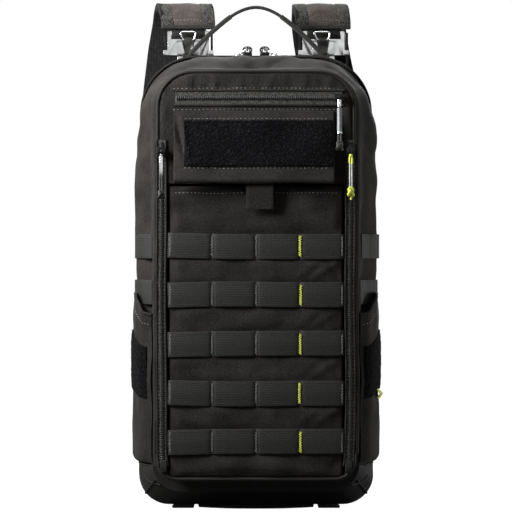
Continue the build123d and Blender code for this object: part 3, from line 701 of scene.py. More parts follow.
# %% A flat strap along a line
def strap(name, route, wide, thick, across=(1, 0, 0), steps=40, lanes=6, offset=0.0, shape=None,
    round_to=0.35):
    """Webbing wide and thick in mm, laid along route with its width along across.

    wide may be a list of widths, spread evenly from start to end. shape(u, v) gives a lift in mm
    out of the flat, for u from 0 to 1 along the strap and v from -0.5 to 0.5 across it.
    """
    focus(None)
    bpy.ops.mesh.primitive_grid_add(x_subdivisions=steps, y_subdivisions=lanes, size=1)
    piece = bpy.context.object
    piece.name = name
    grid = places(piece) * MM
    u, v = grid[:, 0] + 0.5, grid[:, 1]
    line = smooth_line(route, 160)
    even = np.linspace(0, 1, 160)
    widths = np.atleast_1d(np.array(wide, float))
    here = np.column_stack([np.interp(u, even, line[:, axis]) for axis in range(3)])
    ahead = np.gradient(line, axis=0)
    ahead = np.column_stack([np.interp(u, even, ahead[:, axis]) for axis in range(3)])
    ahead /= np.linalg.norm(ahead, axis=1, keepdims=True)
    over = np.array(across, float) - ahead * (ahead @ np.array(across, float))[:, None]
    over /= np.linalg.norm(over, axis=1, keepdims=True)
    out = np.cross(ahead, over)
    span = np.interp(u, np.linspace(0, 1, len(widths)), widths)
    lift = np.zeros(len(u)) if shape is None else shape(u, v)
    put(piece, here + over * (v * span)[:, None] + out * lift[:, None])
    long = float(np.linalg.norm(np.diff(line, axis=0), axis=1).sum())
    corner = np.empty(len(piece.data.loops), int)
    piece.data.loops.foreach_get("vertex_index", corner)
    lay = np.column_stack([u * long, v * span])[corner] * MM
    piece.data.uv_layers.active.data.foreach_set("uv", lay.ravel())
    modify(piece, "SOLIDIFY", thickness=thick * MM, offset=offset, use_even_offset=True)
    if round_to:
        modify(
            piece, "BEVEL", width=round_to * MM, segments=2, limit_method="ANGLE",
            angle_limit=math.radians(50),
        )
    return piece


# %% A round cord or wire along a line
def tube(name, route, radius, steps=60, closed=False, sides=3):
    """A tube along a smooth line, its ends closed unless it joins up with itself."""
    line = smooth_line(route, steps)
    if closed:
        line = line[:-1]
    data = bpy.data.curves.new(name, "CURVE")
    data.dimensions = "3D"
    data.bevel_depth = radius * MM
    data.bevel_resolution = sides
    data.use_fill_caps = not closed
    run = data.splines.new("POLY")
    run.points.add(len(line) - 1)
    for point, spot in zip(run.points, line):
        point.co = (*(spot * MM), 1)
    run.use_cyclic_u = closed
    piece = bpy.data.objects.new(name, data)
    scene.collection.objects.link(piece)
    focus(piece)
    bpy.ops.object.convert(target="MESH")
    return bpy.context.object


def border_line(half, low, high, upper, lower, y):
    """Points round a rounded rectangle in the XZ plane, from the middle of its base."""
    points = []
    for cx, cz, radius, start in (
        (half, low, lower, -90), (half, high, upper, 0), (-half, high, upper, 90), (-half, low, lower, 180)
    ):
        sx, sz = np.sign(cx), (1 if cz == low else -1)
        for step in range(7):
            turn = math.radians(start + step * 15)
            points.append((cx - sx * radius + radius * math.cos(turn), y,
                cz + sz * radius + radius * math.sin(turn)))
    return [(0, y, low)] + points + [(0, y, low)]


# The piping is given the darker coated cloth so that it also stands for the shadow line along the border:
# partly its own dark cloth, partly painted shadow.
piping = tube("border_piping", border_line(98.3, 36.5, 444.4, 35, 19, -81.6), 2.0, 300, closed=True)
dress(piping, boot_cloth, "bag")
print("piping", len(piping.data.polygons))

# %% [markdown]
# ## The drop-down panel
# The panel is padded cloth with five rows of webbing sewn across it. Between the rows the cloth
# bulges and wrinkles on the slant, most at the right where a hand pulls the tab.

# %% The padded panel
panel = box_between("panel_cloth", (-88.6, -83.3, 38.4), (88.6, -79.4, 331.6))
bevel_edges(panel, 3, 3, lambda x, y, z: abs(abs(x) - 88.6) < 0.1 and (z < 39 or z > 331))
remesh(panel, 3.2)
rows = [74.0 + 49 * k for k in range(5)]


def between_rows(x, y, z):
    """1 in the middle of each gap between the webbing rows, 0 under a row."""
    near = np.min([np.abs(z - row) for row in rows], axis=0)
    return ease(near, 9, 20)


front_side = lambda x, y, z: ease(-y, 81.5, 82.8) * ease(-np.abs(x), -88, -80) * between_rows(x, y, z)
puff(panel, 2.0, lambda x, y, z: 0.25 + 0.75 * front_side(x, y, z), pressure=5)
ripple(panel, 2.2, 30, 21, (1, 1, 1.6), front_side)
slants = []
for gap, (lean, height) in enumerate(((9, 1.0), (12, 1.3), (13, 1.5), (11, 1.6))):
    low = rows[gap] + 13
    slants += [(62 - lean, low, 84, low + 22, 3.4, height), (40, low + 2, 62, low + 22, 4.2, height * 0.8)]
    slants += [(-84, low + 20, -60, low + 2, 3.6, height * 0.7), (-20, low, 8, low + 22, 5.0, 0.5)]
    slants += [(70, low + 20, 86, low + 2, 3.0, -height), (20, low + 20, 34, low, 3.4, -0.7)]
slants += [(-80, 316, 60, 322, 5, 0.8), (-70, 302, -20, 306, 4, -0.8), (20, 304, 80, 312, 4, 0.9)]
slants += [(-60, 50, 60, 46, 6, 0.9), (-84, 60, -74, 42, 4, -1.2), (84, 58, 72, 42, 4, -1.2)]
crease(panel, slants, front_side)
modify(panel, "SUBSURF", levels=1, render_levels=1)
dress(panel, pack_cloth, "front_door", ["front_panel"])
print("panel", len(panel.data.polygons))

# %% [markdown]
# Each row of webbing is one band, pinned to the panel by stitches every 44 mm and standing
# 1 mm clear between them, so that hooks can pass behind it. It bows out a little between its
# stitches. One row is made, and the other four are copies, each a little off level.

# %% Five rows of webbing
def bowed(u, v):
    """Proud between the stitch columns and pressed down on them."""
    phase = (u * 4) % 1
    press = np.exp(-((np.minimum(phase, 1 - phase) / 0.05) ** 2))
    return 1.0 * np.sin(np.pi * phase) ** 0.7 - 1.1 * press + 0.3 * np.cos(2 * np.pi * v)


for k, row in enumerate(rows):
    tilt = (0.6, -0.4, 0.8, 0.2, -0.8)[k]
    sag = (0.5, -0.9, 0.3, 1.0, -0.6)[k]
    route = [(-88, -85.3, row - tilt), (-30, -85.3, row + sag), (40, -85.3, row + tilt),
        (88, -85.3, row + tilt)]
    band = strap(f"webbing_row_{k + 1}", route, 25, 1.5, (0, 0, 1), 120, 10, shape=bowed)
    dress(band, web_cloth, "front_door", [f"front_webbing_{k + 1}"])
print("rows", len(rows), "faces each", len(band.data.polygons))

# %% [markdown]
# ## Stitches
# A stitch is one dash of thread, repeated hundreds of times. One dash is modelled with a few
# faces, and each seam is one mesh of its copies, laid on the cloth under it.

# %% One dash, and a seam of them
focus(None)
bpy.ops.mesh.primitive_uv_sphere_add(segments=6, ring_count=4, radius=1, location=(0, 0, 0))
dash = bpy.context.object
dash.scale = (1.15 * MM, 0.32 * MM, 0.28 * MM)
settle(dash, "dash")


def repeat(name, unit, spots, along, outward):
    """One mesh with a copy of unit at every spot, its X turned along and its Z outward."""
    shape = places(unit)
    faces = [list(face.vertices) for face in unit.data.polygons]
    points, sides = [], []
    for k, (spot, x, z) in enumerate(zip(spots, along, outward)):
        z = z / np.linalg.norm(z)
        x = x - z * (x @ z)
        x = x / np.linalg.norm(x)
        points.append(spot + shape @ np.array([x, np.cross(z, x), z]))
        sides += [[corner + k * len(shape) for corner in face] for face in faces]
    mesh = bpy.data.meshes.new(name)
    mesh.from_pydata((np.vstack(points) * MM).tolist(), [], sides)
    piece = bpy.data.objects.new(name, mesh)
    scene.collection.objects.link(piece)
    return piece


def hug(piece, spots, lift):
    """The nearest places on a piece's surface, lifted off it in mm, and the normals there."""
    bpy.context.view_layer.update()
    found = [piece.closest_point_on_mesh(Vector(spot) * MM) for spot in spots]
    normals = np.array([hit[2] for hit in found])
    return np.array([hit[1] for hit in found]) / MM + normals * lift, normals


def seam(name, route, material, body, cloth=None, pitch=3.4, outward=(0, -1, 0), lift=0.1, unit=None):
    """A run of stitches along a route, laid on a cloth piece if one is given."""
    rough = smooth_line(route, 200)
    long = np.linalg.norm(np.diff(rough, axis=0), axis=1).sum()
    spots = smooth_line(rough[::8], max(3, int(long / pitch)))
    along = np.gradient(spots, axis=0)
    normals = np.tile(np.array(outward, float), (len(spots), 1))
    if cloth:
        spots, normals = hug(cloth, spots, lift)
    run = repeat(name, unit or dash, spots, along, normals)
    return dress(run, material, body)


# %% [markdown]
# The stitch columns on the webbing are short zigzags. Four columns are grey-black. The one at
# the right, by the tab, is the bag's lime accent, a dense bar tack that can be seen from far.

# %% Bar tacks
def zigzag(name, x, z, tall, half, turns, radius):
    route = [(x + half * (-1) ** k, -87.3, z - tall / 2 + tall * k / turns) for k in range(turns + 1)]
    data = []
    for a, b in zip(route, route[1:]):
        data += [a, tuple((p + q) / 2 for p, q in zip(a, b))]
    return tube(name, data + [route[-1]], radius, turns * 6, sides=1)


lime_bars, grey_bars = [], []
for k, row in enumerate(rows):
    lime_bars.append(zigzag(f"lime_{k}", 44 + (0.4, -0.6, 0.2, 0.7, 0)[k], row, 20.5, 1.05, 17, 0.5))
    for x in (-86, -44, 0, 86):
        grey_bars.append(zigzag(f"grey_{k}_{x}", x, row, 20, 0.6, 13, 0.26))
for bar in grey_bars:
    put(bar, places(bar) + (0, 1.0, 0))
lime_bars = join(lime_bars, "lime_bar_tacks")
put(lime_bars, places(lime_bars) + (0, 0.55, 0))
dress(lime_bars, lime_thread, "front_door", ["bar_tacks"])
dress(join(grey_bars, "grey_bar_tacks"), grey_thread, "front_door")
print("tacks done")

# %% [markdown]
# ## The patch flap
# The flap hangs from a hinge seam and stands 12 mm out at its lip, where its hem turns back
# under. It is one band of doubled cloth, so it is a wide strap whose route runs down the front
# and back under the lip. A slanted fold at its upper left corner is where the doubled cloth
# turns.

# %% Laying a flat piece on the front of another
def lay_on(piece, cloth):
    """Moves each point of a piece that was made flat at y = 0 to stand on the cloth behind it."""
    bpy.context.view_layer.update()
    spots = places(piece)
    for spot in spots:
        met, place, _, _ = cloth.ray_cast(Vector((spot[0], -300, spot[2])) * MM, (0, 1, 0))
        spot[1] += place.y / MM if met else -90
    put(piece, spots)


# %% The flap
flap_route = [
    (-2, -85.2, 405), (-2, -87.0, 398), (-2, -92.0, 371), (-2, -96.6, 345), (-2, -98.4, 335.2),
    (-2, -96.6, 333.6), (-2, -88.8, 335.4),
]


def flap_shape(u, v):
    """Soft waves down the flap, pulled flat at its hem."""
    wave = 0.9 * np.sin(5.2 * np.pi * v + 1.1) * np.sin(np.pi * np.clip(u / 0.75, 0, 1))
    return wave + 0.5 * np.sin(11 * v + 9 * u)


flap = strap("flap_cloth", flap_route, 160, 2.6, (1, 0, 0), 60, 90, shape=flap_shape, round_to=0.9)
crease(flap, [(-81, 400, -69, 350, 2.6, -2.4), (-75, 402, -66, 352, 2.6, 1.6),
    (-80, 347, 76, 347, 1.6, -1.0)],
       lambda x, y, z: ease(-y, 86, 88))
dress(flap, pack_cloth, "patch_flap", ["front_flap"])
patch = strap("flap_pile", [(2.5, -0.6, 395.5), (2.5, -0.6, 349.5)], 148, 1.5, (1, 0, 0), 60, 150,
    round_to=0.4)
ripple(patch, 0.5, 2.6, 31)
lay_on(patch, flap)
dress(patch, pile, "patch_flap", ["flap_loop_patch"])
for z in (397.2, 347.6):
    y = -87.6 - (405 - z) * 0.174
    seam(f"flap_seam_{int(z)}", [(-70, y, z), (0, y, z), (75, y, z)], grey_thread, "patch_flap", flap, 4.2)
print("flap", len(flap.data.polygons))

# %% The tab that pulls the panel open
tab_route = [(4, -84.5, 329), (4, -90.5, 331.5), (4, -93.2, 329), (4, -93.0, 318), (4, -92.2, 306.5)]
pull_tab = strap("tab_webbing", tab_route, 27, 2.4, (1, 0, 0), 24, 8, round_to=0.6)
dress(pull_tab, pack_cloth, "front_door", ["pull_tab"])
for ends in ((-80, -12), (20, 82)):
    seam(f"panel_seam_{ends[0]}", [(ends[0], -83.5, 323), (sum(ends) / 2, -83.5, 322.4),
        (ends[1], -83.5, 323)], grey_thread,
         "front_door", panel, 3.6)

# %% [markdown]
# ## Zips
# A coil zip is two tapes with a nylon spiral between them. From the front it reads as a fine
# ladder between two speckled tapes, with a welt of folded cloth along each side. One tooth of
# the spiral is a bent capsule, and the coil is a row of its copies.

# %% One tooth of the coil
focus(None)
bpy.ops.mesh.primitive_uv_sphere_add(segments=8, ring_count=5, radius=1, location=(0, 0, 0))
tooth = bpy.context.object
tooth.scale = (0.62 * MM, 2.3 * MM, 0.85 * MM)
settle(tooth, "tooth")


def coil(name, route, body, outward=(0, -1, 0), pitch=1.9, replaced=()):
    """A zip's spiral along a route, its teeth across it."""
    line = smooth_line(route, 400)
    long = np.linalg.norm(np.diff(line, axis=0), axis=1).sum()
    spots = smooth_line(line[::4], int(long / pitch))
    out = np.array([outward(*spot) for spot in spots]) if callable(outward) else np.tile(np.array(outward,
        float), (len(spots), 1))
    teeth = repeat(name, tooth, spots, np.gradient(spots, axis=0), out)
    return dress(teeth, zip_coil, body, replaced)


zip_coil = fine("nylon_coil_black", "zip_tape", "#161616", "#30302e", 1.2, 0.2, Roughness=0.4)

# %% The two upright zips
zip_middle = 94.5  # mm from the middle of the bag to each upright zip
admin_level = 418  # mm up to the zip across the top
for side, name in ((-1, "left"), (1, "right")):
    x = side * zip_middle
    low, high = 50, 376
    wavy = [
        (x - side * 2.2, -84.0, low), (x - side * 0.8, -84.0, 62), (x + 0.5, -84.0, 130),
        (x - 0.4, -84.0, 220),
        (x + 0.3, -84.0, 300), (x, -84.0, high),
    ]
    tape = strap(f"front_zip_tape_{name}", wavy, 10.4, 0.9, (1, 0, 0), 90, 6)
    dress(tape, tape_cloth, "bag", [f"front_zip_track_{name}"])
    coil(f"front_zip_coil_{name}", [(px, -85.2, pz) for px, _, pz in wavy], "bag")
    for gap, width, deep in ((-4.7, 1.1, -84.6), (4.3, 0.9, -84.4), (side * 6.2, 2.3, -82.4)):
        run = wavy if width < 2 else [(x, 0, 62), *wavy[2:5], (x, 0, 372)]
        welt = tube(f"zip_welt_{name}_{gap:.0f}", [(px + gap, deep, pz) for px, _, pz in run], width, 90)
        ripple(welt, 0.5, 14, 41)
        dress(welt, pack_cloth, "bag")
    stop = strap(f"zip_stop_{name}", [(side * 92.0, -84.4, 44), (side * 92.4, -85.4, 49),
        (side * 92.6, -85.2, 56)], 6.2, 1.8,
                 (1, 0, 0), 12, 4)
    dress(stop, web_cloth, "bag")
    for lane in (-3.1, 3.1):
        seam(
            f"zip_seam_{name}_{lane:.0f}", [(px + lane, -84.5, pz) for px, _, pz in wavy], grey_thread,
            "bag", pitch=3.8,
        )

# %% The admin zip across the top
tape = strap("admin_zip_tape", [(-81, -83.9, admin_level), (0, -83.9, 418.4), (87, -83.9, admin_level)],
    14.5, 0.9,
    (0, 0, 1), 90, 8)
dress(tape, tape_cloth, "bag", ["admin_zip_track"])
coil("admin_zip_coil", [(-79, -85.2, admin_level), (3, -85.2, 418.4), (85, -85.2, admin_level)], "bag")
for z, width in ((425.3, 1.2), (410.6, 1.2)):
    welt = tube(f"admin_welt_{int(z)}", [(-82, -84.2, z), (0, -84.6, z + 0.5), (88, -84.2, z)], width, 60)
    dress(welt, pack_cloth, "bag")
for z in (427.6, 406.4):
    seam(f"admin_seam_{int(z)}", [(-82, -84, z), (0, -84, z + 0.5), (88, -84, z)], grey_thread, "bag",
        gusset, 4.2)
print("zips done")

# %% The main zip over the ridge and down both sides
bag_side, bag_top, bag_corner = 119, 467, 58  # mm: half width, height and corner radius of the bag
def ridge_line(y, out, low):
    """Points up one side, over the ridge and down the other, out mm off the bag's form."""
    half, high, radius = bag_side + out, bag_top + out, bag_corner + out
    points = [(-half, y, low), (-half, y, 160), (-half, y, 280), (-half, y, high - radius - 12)]
    for turn in range(180, 89, -15):
        a = math.radians(turn)
        points.append((-half + radius + radius * math.cos(a), y, high - radius + radius * math.sin(a)))
    right = [(-px, py, pz) for px, py, pz in reversed(points)]
    return points + [(0, y, high)] + right


def from_middle(x, y, z):
    """Away from the bag's core, for what is laid round the ridge."""
    core = np.array([np.clip(x, -61, 61), y, np.clip(z, 0, 409)])
    return np.array([x, y, z]) - core


for name, y, body in (("front", 34.4, "bag"), ("back", 41.8, "back_lid")):
    line = ridge_line(y, 0.6, 61)
    tape = strap(f"main_zip_tape_{name}", line, 6.6, 1.2, (0, 1, 0), 240, 3)
    dress(tape, tape_cloth, body, [f"main_zip_track_{name}"])
    proud, thick = (0.9, 1.3) if name == "front" else (0.0, 1.0)
    edge = ridge_line(y + (-3.6 if name == "front" else 3.6), proud, 61)
    welt = tube(f"main_welt_{name}", edge, thick, 240)
    dress(welt, pack_cloth, body)
half_tooth = copy_of(tooth, "half_tooth")
put(half_tooth, places(half_tooth) * (1, 0.5, 1))
for name, y, body in (("front", 36.9, "bag"), ("back", 39.3, "back_lid")):
    line = smooth_line(ridge_line(y, 1.6, 62), 560)
    out = np.array([from_middle(*spot) for spot in line])
    teeth = repeat(f"main_coil_{name}", half_tooth, line, np.gradient(line, axis=0), out)
    dress(teeth, zip_coil, body)
bpy.data.objects.remove(half_tooth)

# %% [markdown]
# ## Hard fittings
# Sliders, buckles, levers and locks are the frame's own shapes, which are right. Real castings
# have softened edges that catch the light, so each is copied, its loose triangles are merged
# and flattened into whole faces, and its edges are given a small bevel.

# %% Softened copies of hard CAD parts
def soften(node, material, body, width=0.45, name=None):
    piece = copy_of(nodes[node], name or node + "_cast")
    focus(piece)
    edit_all(piece)
    bpy.ops.mesh.remove_doubles(threshold=0.01 * MM)
    bpy.ops.mesh.dissolve_limited(angle_limit=math.radians(2))
    bpy.ops.mesh.normals_make_consistent(inside=False)
    bpy.ops.object.mode_set(mode="OBJECT")
    modify(
        piece, "BEVEL", width=width * MM, segments=3, limit_method="ANGLE",
        angle_limit=math.radians(35), use_clamp_overlap=True,
    )
    return dress(piece, material, body, [node], angle=30)


for side in ("left", "right"):
    soften(f"main_slider_{side}", black_zinc, f"main_slider_{side}", 0.3)
    soften(f"front_slider_{side}", black_zinc, f"front_slider_{side}", 0.3)
    soften(f"buckle_frame_{side}", bright_alloy, f"strap_{side}", 0.9)
    soften(f"buckle_tongue_{side}", bright_alloy, "back_lid", 0.6)
    soften(f"ladder_lock_{side}", acetal, f"strap_{side}", 0.6)
    for place in ("inner", "outer"):
        soften(f"release_lever_{side}_{place}", black_zinc, f"lever_{side}_{place}", 0.5)
soften("admin_slider", black_zinc, "admin_slider", 0.3)
print("castings done")

# %% [markdown]
# ## Cord pulls
# Each zip pull is a ring through the slider's bail, a metal ferrule, a cord and a knot at its
# end. The one on the right front zip is lime and grey, the one on the left has a flat bright
# blade, and the admin zip's has a grey rubber sleeve. The turned parts are one profile spun
# round its axis.

# %% Turned parts, rings and knots
def turned(name, profile, start, way):
    """A profile of (along, radius) pairs in mm, spun round the line from start along way."""
    mesh = bpy.data.meshes.new(name)
    spots = [(radius * MM, 0, along * MM) for along, radius in profile]
    mesh.from_pydata(spots, [(k, k + 1) for k in range(len(spots) - 1)], [])
    piece = bpy.data.objects.new(name, mesh)
    scene.collection.objects.link(piece)
    edit_all(piece)
    bpy.ops.mesh.spin(steps=20, angle=2 * math.pi, center=(0, 0, 0), axis=(0, 0, 1))
    bpy.ops.mesh.select_all(action="SELECT")
    bpy.ops.mesh.remove_doubles(threshold=0.005 * MM)
    bpy.ops.mesh.normals_make_consistent(inside=False)
    bpy.ops.object.mode_set(mode="OBJECT")
    piece.rotation_euler = Vector(way).to_track_quat("Z", "Y").to_euler()
    piece.location = Vector(start) * MM
    return settle(piece)


def ring_at(name, spot, radius, wire, facing):
    """A round wire ring."""
    focus(None)
    bpy.ops.mesh.primitive_torus_add(
        major_radius=radius * MM, minor_radius=wire * MM, major_segments=28, minor_segments=8,
        location=Vector(spot) * MM, rotation=Vector(facing).to_track_quat("Z", "Y").to_euler(),
    )
    return settle(bpy.context.object, name)


def ferrule(name, start, way, long, radius):
    lip = 0.4
    return turned(
        name, [(0, 0.01), (0, radius - lip), (lip, radius), (long - lip, radius), (long, radius - lip),
        (long, 0.01)],
        start, way,
    )


def knot(name, spot, way, radius):
    """An overhand knot: a fat trefoil of cord about the pull's axis."""
    way = Vector(way).normalized()
    side = way.orthogonal().normalized()
    other = way.cross(side)
    points = []
    for k in range(25):
        t = 2 * math.pi * k / 24
        flat = 0.62 * (math.sin(t) + 2 * math.sin(2 * t)) / 2.4
        rise = 0.62 * (math.cos(t) - 2 * math.cos(2 * t)) / 2.4
        turn = way * rise * 1.5 + side * flat * 1.3 + other * -math.sin(3 * t) * 0.32
        points.append(Vector(spot) + radius * turn)
    return tube(name, [tuple(point) for point in points], radius * 0.36, 90, closed=True)


def pull(name, pivot, way, parts, body):
    """Builds one pull. parts is a list of (kind, start, end, size, finish) along its length."""
    way = Vector(way).normalized()
    at = lambda s: Vector(pivot) + way * s
    ring = ring_at(f"{name}_ring", pivot, 2.1, 0.62, (1, 0, 0))
    dress(ring, black_zinc, body, [name])
    side = Vector((1, 0, 0))
    for k, (kind, start, end, size, finish) in enumerate(parts):
        label = f"{name}_{kind}_{k}"
        if kind == "ferrule":
            piece = ferrule(label, at(start), way, end - start, size)
        elif kind == "cord":
            runs = []
            for sign in (-1, 1):
                route = [tuple(at(start + (end - start) * t) + side * sign * size * (1.0, 1.25, 1.05)[j])
                         for j, t in enumerate((0, 0.5, 1))]
                runs.append(tube(f"{label}_{sign}", route, size, 20))
            piece = join(runs, label)
        elif kind == "single":
            piece = tube(label, [tuple(at(start)), tuple(at((start + end) / 2) + side * 0.4),
                tuple(at(end))], size, 24)
        elif kind == "knot":
            piece = knot(label, at((start + end) / 2), way, size)
        elif kind == "blade":
            focus(None)
            piece = box_between(label, (-size, -0.7, 0), (size, 0.7, end - start))
            bevel_edges(piece, 0.6, 3, lambda x, y, z: True)
            piece.rotation_euler = way.to_track_quat("Z", "Y").to_euler()
            piece.location = at(start) * MM
            settle(piece)
        elif kind == "ball":
            focus(None)
            bpy.ops.mesh.primitive_uv_sphere_add(
                segments=20, ring_count=12, radius=size * MM, location=at((start + end) / 2) * MM
            )
            piece = settle(bpy.context.object, label)
        dress(piece, finish, body)


for side, sign in (("left", -1), ("right", 1)):
    loop = [(9 * sign + 4.6 * math.sin(t), 36.6 - 2.2 * math.cos(t),
        475.6 + 3.0 * math.cos(t)) for t in np.linspace(0, 2 * math.pi, 13)]
    dress(tube(f"main_loop_{side}", loop, 0.75, 48, closed=True), black_zinc, f"main_pull_{side}")
    pull(
        f"main_pull_{side}", (9 * sign, 38, 477.0), (0.34 * sign, -0.86, -0.3),
        [("ferrule", 2.4, 7, 1.5, bright_alloy), ("blade", 6.5, 22, 1.7, bright_alloy),
         ("cord", 21.5, 28, 0.75, black_cord), ("ball", 26.5, 33, 2.9, bright_alloy)],
        f"main_pull_{side}",
    )
down = (0, -0.03, -1)
pull(
    "front_pull_left", (-zip_middle, -94.1, 364), down,
    [("ferrule", 2.4, 5, 1.5, bright_alloy), ("blade", 4.5, 26, 1.9, bright_alloy),
     ("cord", 25, 40, 0.85, black_cord), ("knot", 39, 47, 3.6, black_cord)],
    "front_pull_left",
)
pull(
    "front_pull_right", (zip_middle, -94.1, 364), down,
    [("ferrule", 2.4, 5.5, 1.7, lime_thread), ("cord", 5, 12, 1.0, lime_thread),
     ("cord", 11, 38, 0.85, pale_cord), ("knot", 36, 45, 3.8, lime_thread),
     ("single", 44, 48, 0.9, lime_thread)],
    "front_pull_right",
)
pull(
    "admin_pull", (83, -94.1, admin_level), (0, -0.22, -1),
    [("ferrule", 2.4, 10, 2.0, bright_alloy), ("single", 9, 12, 1.6, black_cord),
    ("ferrule", 11, 36, 2.4, grey_tube),
     ("ferrule", 35.5, 38, 2.7, bright_alloy), ("cord", 37, 48, 1.0, black_cord),
     ("knot", 46, 54.5, 4.0, black_cord)],
    "admin_pull",
)
print("pulls done")

# %% [markdown]
# ## Side pockets
# Each side pocket is an open pouch that stands off the bag's wall, with a hemmed lip that gapes
# and drops towards the front. Its wall is one sheet: a plan curve across, bellied out, and drawn
# in at its foot. The left one is made and the right one is its mirror.

# %% A side pocket's wall
def pocket_wall(u, v, grow=0.0, low=48.0, high=222.0):
    """A point of the right pocket's wall: u from front to back, v from foot to lip, in mm."""
    plan = smooth_line([(106.5, -39.5, 0), (117, -32, 0), (124, -17, 0), (127.4, -2, 0), (125.6, 14, 0),
        (119.4, 30, 0)], 120)
    even = np.linspace(0, 1, 120)
    x, y = np.interp(u, even, plan[:, 0]), np.interp(u, even, plan[:, 1])
    side = np.interp(y, [-42, -12, 38], [104, 119, 119]) - 1.5
    top = high - 21 * ease(-y, 2, 40)
    z = low + v * (top - low)
    belly = np.sqrt(np.clip(1 - (1 - np.clip((z - low) / 10, 0, 1)) ** 2, 0, 1))
    belly = belly * (1 - 0.10 * np.exp(-(((z - 186) / 9) ** 2)) - 0.08 * np.exp(-(((z - 122) / 8) ** 2)))
    gape = 1 - 0.22 * ease(z, 190, 222)
    x = side + (x - side) * belly * gape
    return np.column_stack([x + grow * belly, y - 0.2 * grow * belly, z])


def wall_sheet(name, sign, u_range, v_range, grow, thick, steps, lanes, low=48.0, high=222.0, shape=None):
    """Part of a pocket's wall as a sheet of its own, on the right for sign 1, left for -1."""
    focus(None)
    bpy.ops.mesh.primitive_grid_add(x_subdivisions=steps, y_subdivisions=lanes, size=1)
    sheet = bpy.context.object
    sheet.name = name
    grid = places(sheet) * MM + 0.5
    u = u_range[0] + grid[:, 0] * (u_range[1] - u_range[0])
    v = v_range[0] + grid[:, 1] * (v_range[1] - v_range[0])
    spots = pocket_wall(u, v, grow, low, high)
    if shape is not None:
        spots[:, 0] += shape(u, v)
    put(sheet, spots * (sign, 1, 1))
    edit_all(sheet)
    bpy.ops.mesh.normals_make_consistent(inside=False)
    bpy.ops.object.mode_set(mode="OBJECT")
    if (facings(sheet)[:, 0] * sign).mean() < 0:
        edit_all(sheet)
        bpy.ops.mesh.flip_normals()
        bpy.ops.object.mode_set(mode="OBJECT")
    return modify(sheet, "SOLIDIFY", thickness=thick * MM, offset=-1)


def pocket_waves(u, v):
    """Slanted folds in the pouch, deeper near its foot and its front corner."""
    return (0.9 * np.sin(9 * u + 14 * v) * np.sin(np.pi * np.clip(v, 0, 1)) * ease(v, 0.05, 0.3)
            + 0.6 * np.sin(23 * u - 9 * v + 1) * ease(v, 0.1, 0.4) * np.sin(np.pi * u))


for sign, name in ((-1, "left"), (1, "right")):
    pouch = wall_sheet(f"pocket_wall_{name}", sign, (0, 1), (0, 1), 0, 1.6, 60, 90, shape=pocket_waves)
    pouch.data.materials.append(pack_cloth)
    dress(pouch, None, "bag", [f"side_pocket_{name}"])
    lip = pocket_wall(np.linspace(0, 1, 24), np.full(24, 0.995), -0.6) * (sign, 1, 1)
    lip[:, 0] += sign * pocket_waves(np.linspace(0, 1, 24), np.full(24, 1.0))
    hem = tube(f"pocket_hem_{name}", [tuple(spot) for spot in lip], 1.7, 80)
    dress(hem, pack_cloth, "bag")
    seam_at = pocket_wall(np.linspace(0.05, 0.95, 20), np.full(20, 0.93), 0.4) * (sign, 1, 1)
    seam(f"pocket_seam_{name}", [tuple(s) for s in seam_at], grey_thread, "bag", pouch, 3.8)
tag = strap("pocket_tag", [(124.5, -15, 124), (128.6, -15.4, 119), (125.0, -15, 114)], 9, 1.0,
    (0.35, 1, 0), 16, 4)
dress(tag, lime_thread, "bag")
print("pockets done")

# %% Loop patches on the pockets
field = [wall_sheet(f"field_{sign}", sign, (0.06, 0.66), (0.437, 0.782), 1.5, 1.6, 40,
    40) for sign in (-1, 1)]
for part in field:
    ripple(part, 0.5, 2.6, 33)
side_field = join(field, "side_pile")
dress(side_field, pile, "bag", ["side_loop_patches"])

# %% [markdown]
# ## Webbing on the walls
# Two rows of webbing cross each side wall above the pocket. The wall bellies, so each band is
# laid on the wall's own surface and lifted clear of it between its stitches.

# %% Side webbing
bands = []
for sign in (-1, 1):
    for row in (270, 223):
        guide = [(sign * 140, y, row) for y in np.linspace(-38, 31, 16)]
        laid, normals = hug(bag, guide, 0.35)
        laid[:, 2] = row
        phase = np.linspace(0, 1, 16) * 2 % 1
        laid += normals * (0.35 * np.sin(np.pi * phase) ** 2)[:, None]
        bands.append(strap(f"side_band_{row}_{sign}", [tuple(s) for s in laid], 25, 1.2, (0, 0, 1), 60, 6))
side_web = join(bands, "side_webbing_rows")
dress(side_web, web_cloth, "bag", ["side_webbing"])
print("side webbing done")

# %% [markdown]
# ## The base
# A boot of smooth coated cloth wraps the bottom, because that is where a bag wears. It is the
# bag's own form, grown by 1 mm and cut off level, with its seams welted. Under it are two strips
# of webbing and a grab handle, all with a little slack.

# %% The boot
boot = bag_form("boot_cloth", 1.25)
cut_at(boot, (0, 0, 47), (0, 0, 1))
remove_faces(boot, lambda x, y, z: z > 47)
remove_faces(boot, lambda x, y, z: y < -43 and abs(x) < 98 and z > 36)
modify(boot, "SUBSURF", subdivision_type="SIMPLE", levels=2, render_levels=2)
ripple(boot, 0.7, 24, 51, (1, 0.6, 1), lambda x, y, z: ease(z, 10, 30) * ease(-z, -46, -40))
boot.data.materials.append(boot_cloth)
line_inside(boot, lining_cloth, 1.0)
dress(boot, None, "bag", ["base_boot"])
boot_welts = []
for sign in (-1, 1):
    for k, route in enumerate((
        [(sign * 104, -42, 46), (sign * 117, -20, 47), (sign * 120.4, 0, 47), (sign * 120.4, 38, 47)],
        [(sign * 118, -14, 47), (sign * 110, -30, 30), (sign * 98, -42, 26)],
        [(sign * 118, -10, 12), (sign * 110, -30, 24), (sign * 99, -42, 36)],
    )):
        laid, _ = hug(boot, smooth_line(route, 30), 0.4)
        boot_welts.append(tube(f"boot_welt_{sign}_{k}", [tuple(s) for s in laid], 0.9, 40))
dress(join(boot_welts, "boot_welts"), boot_cloth, "bag")

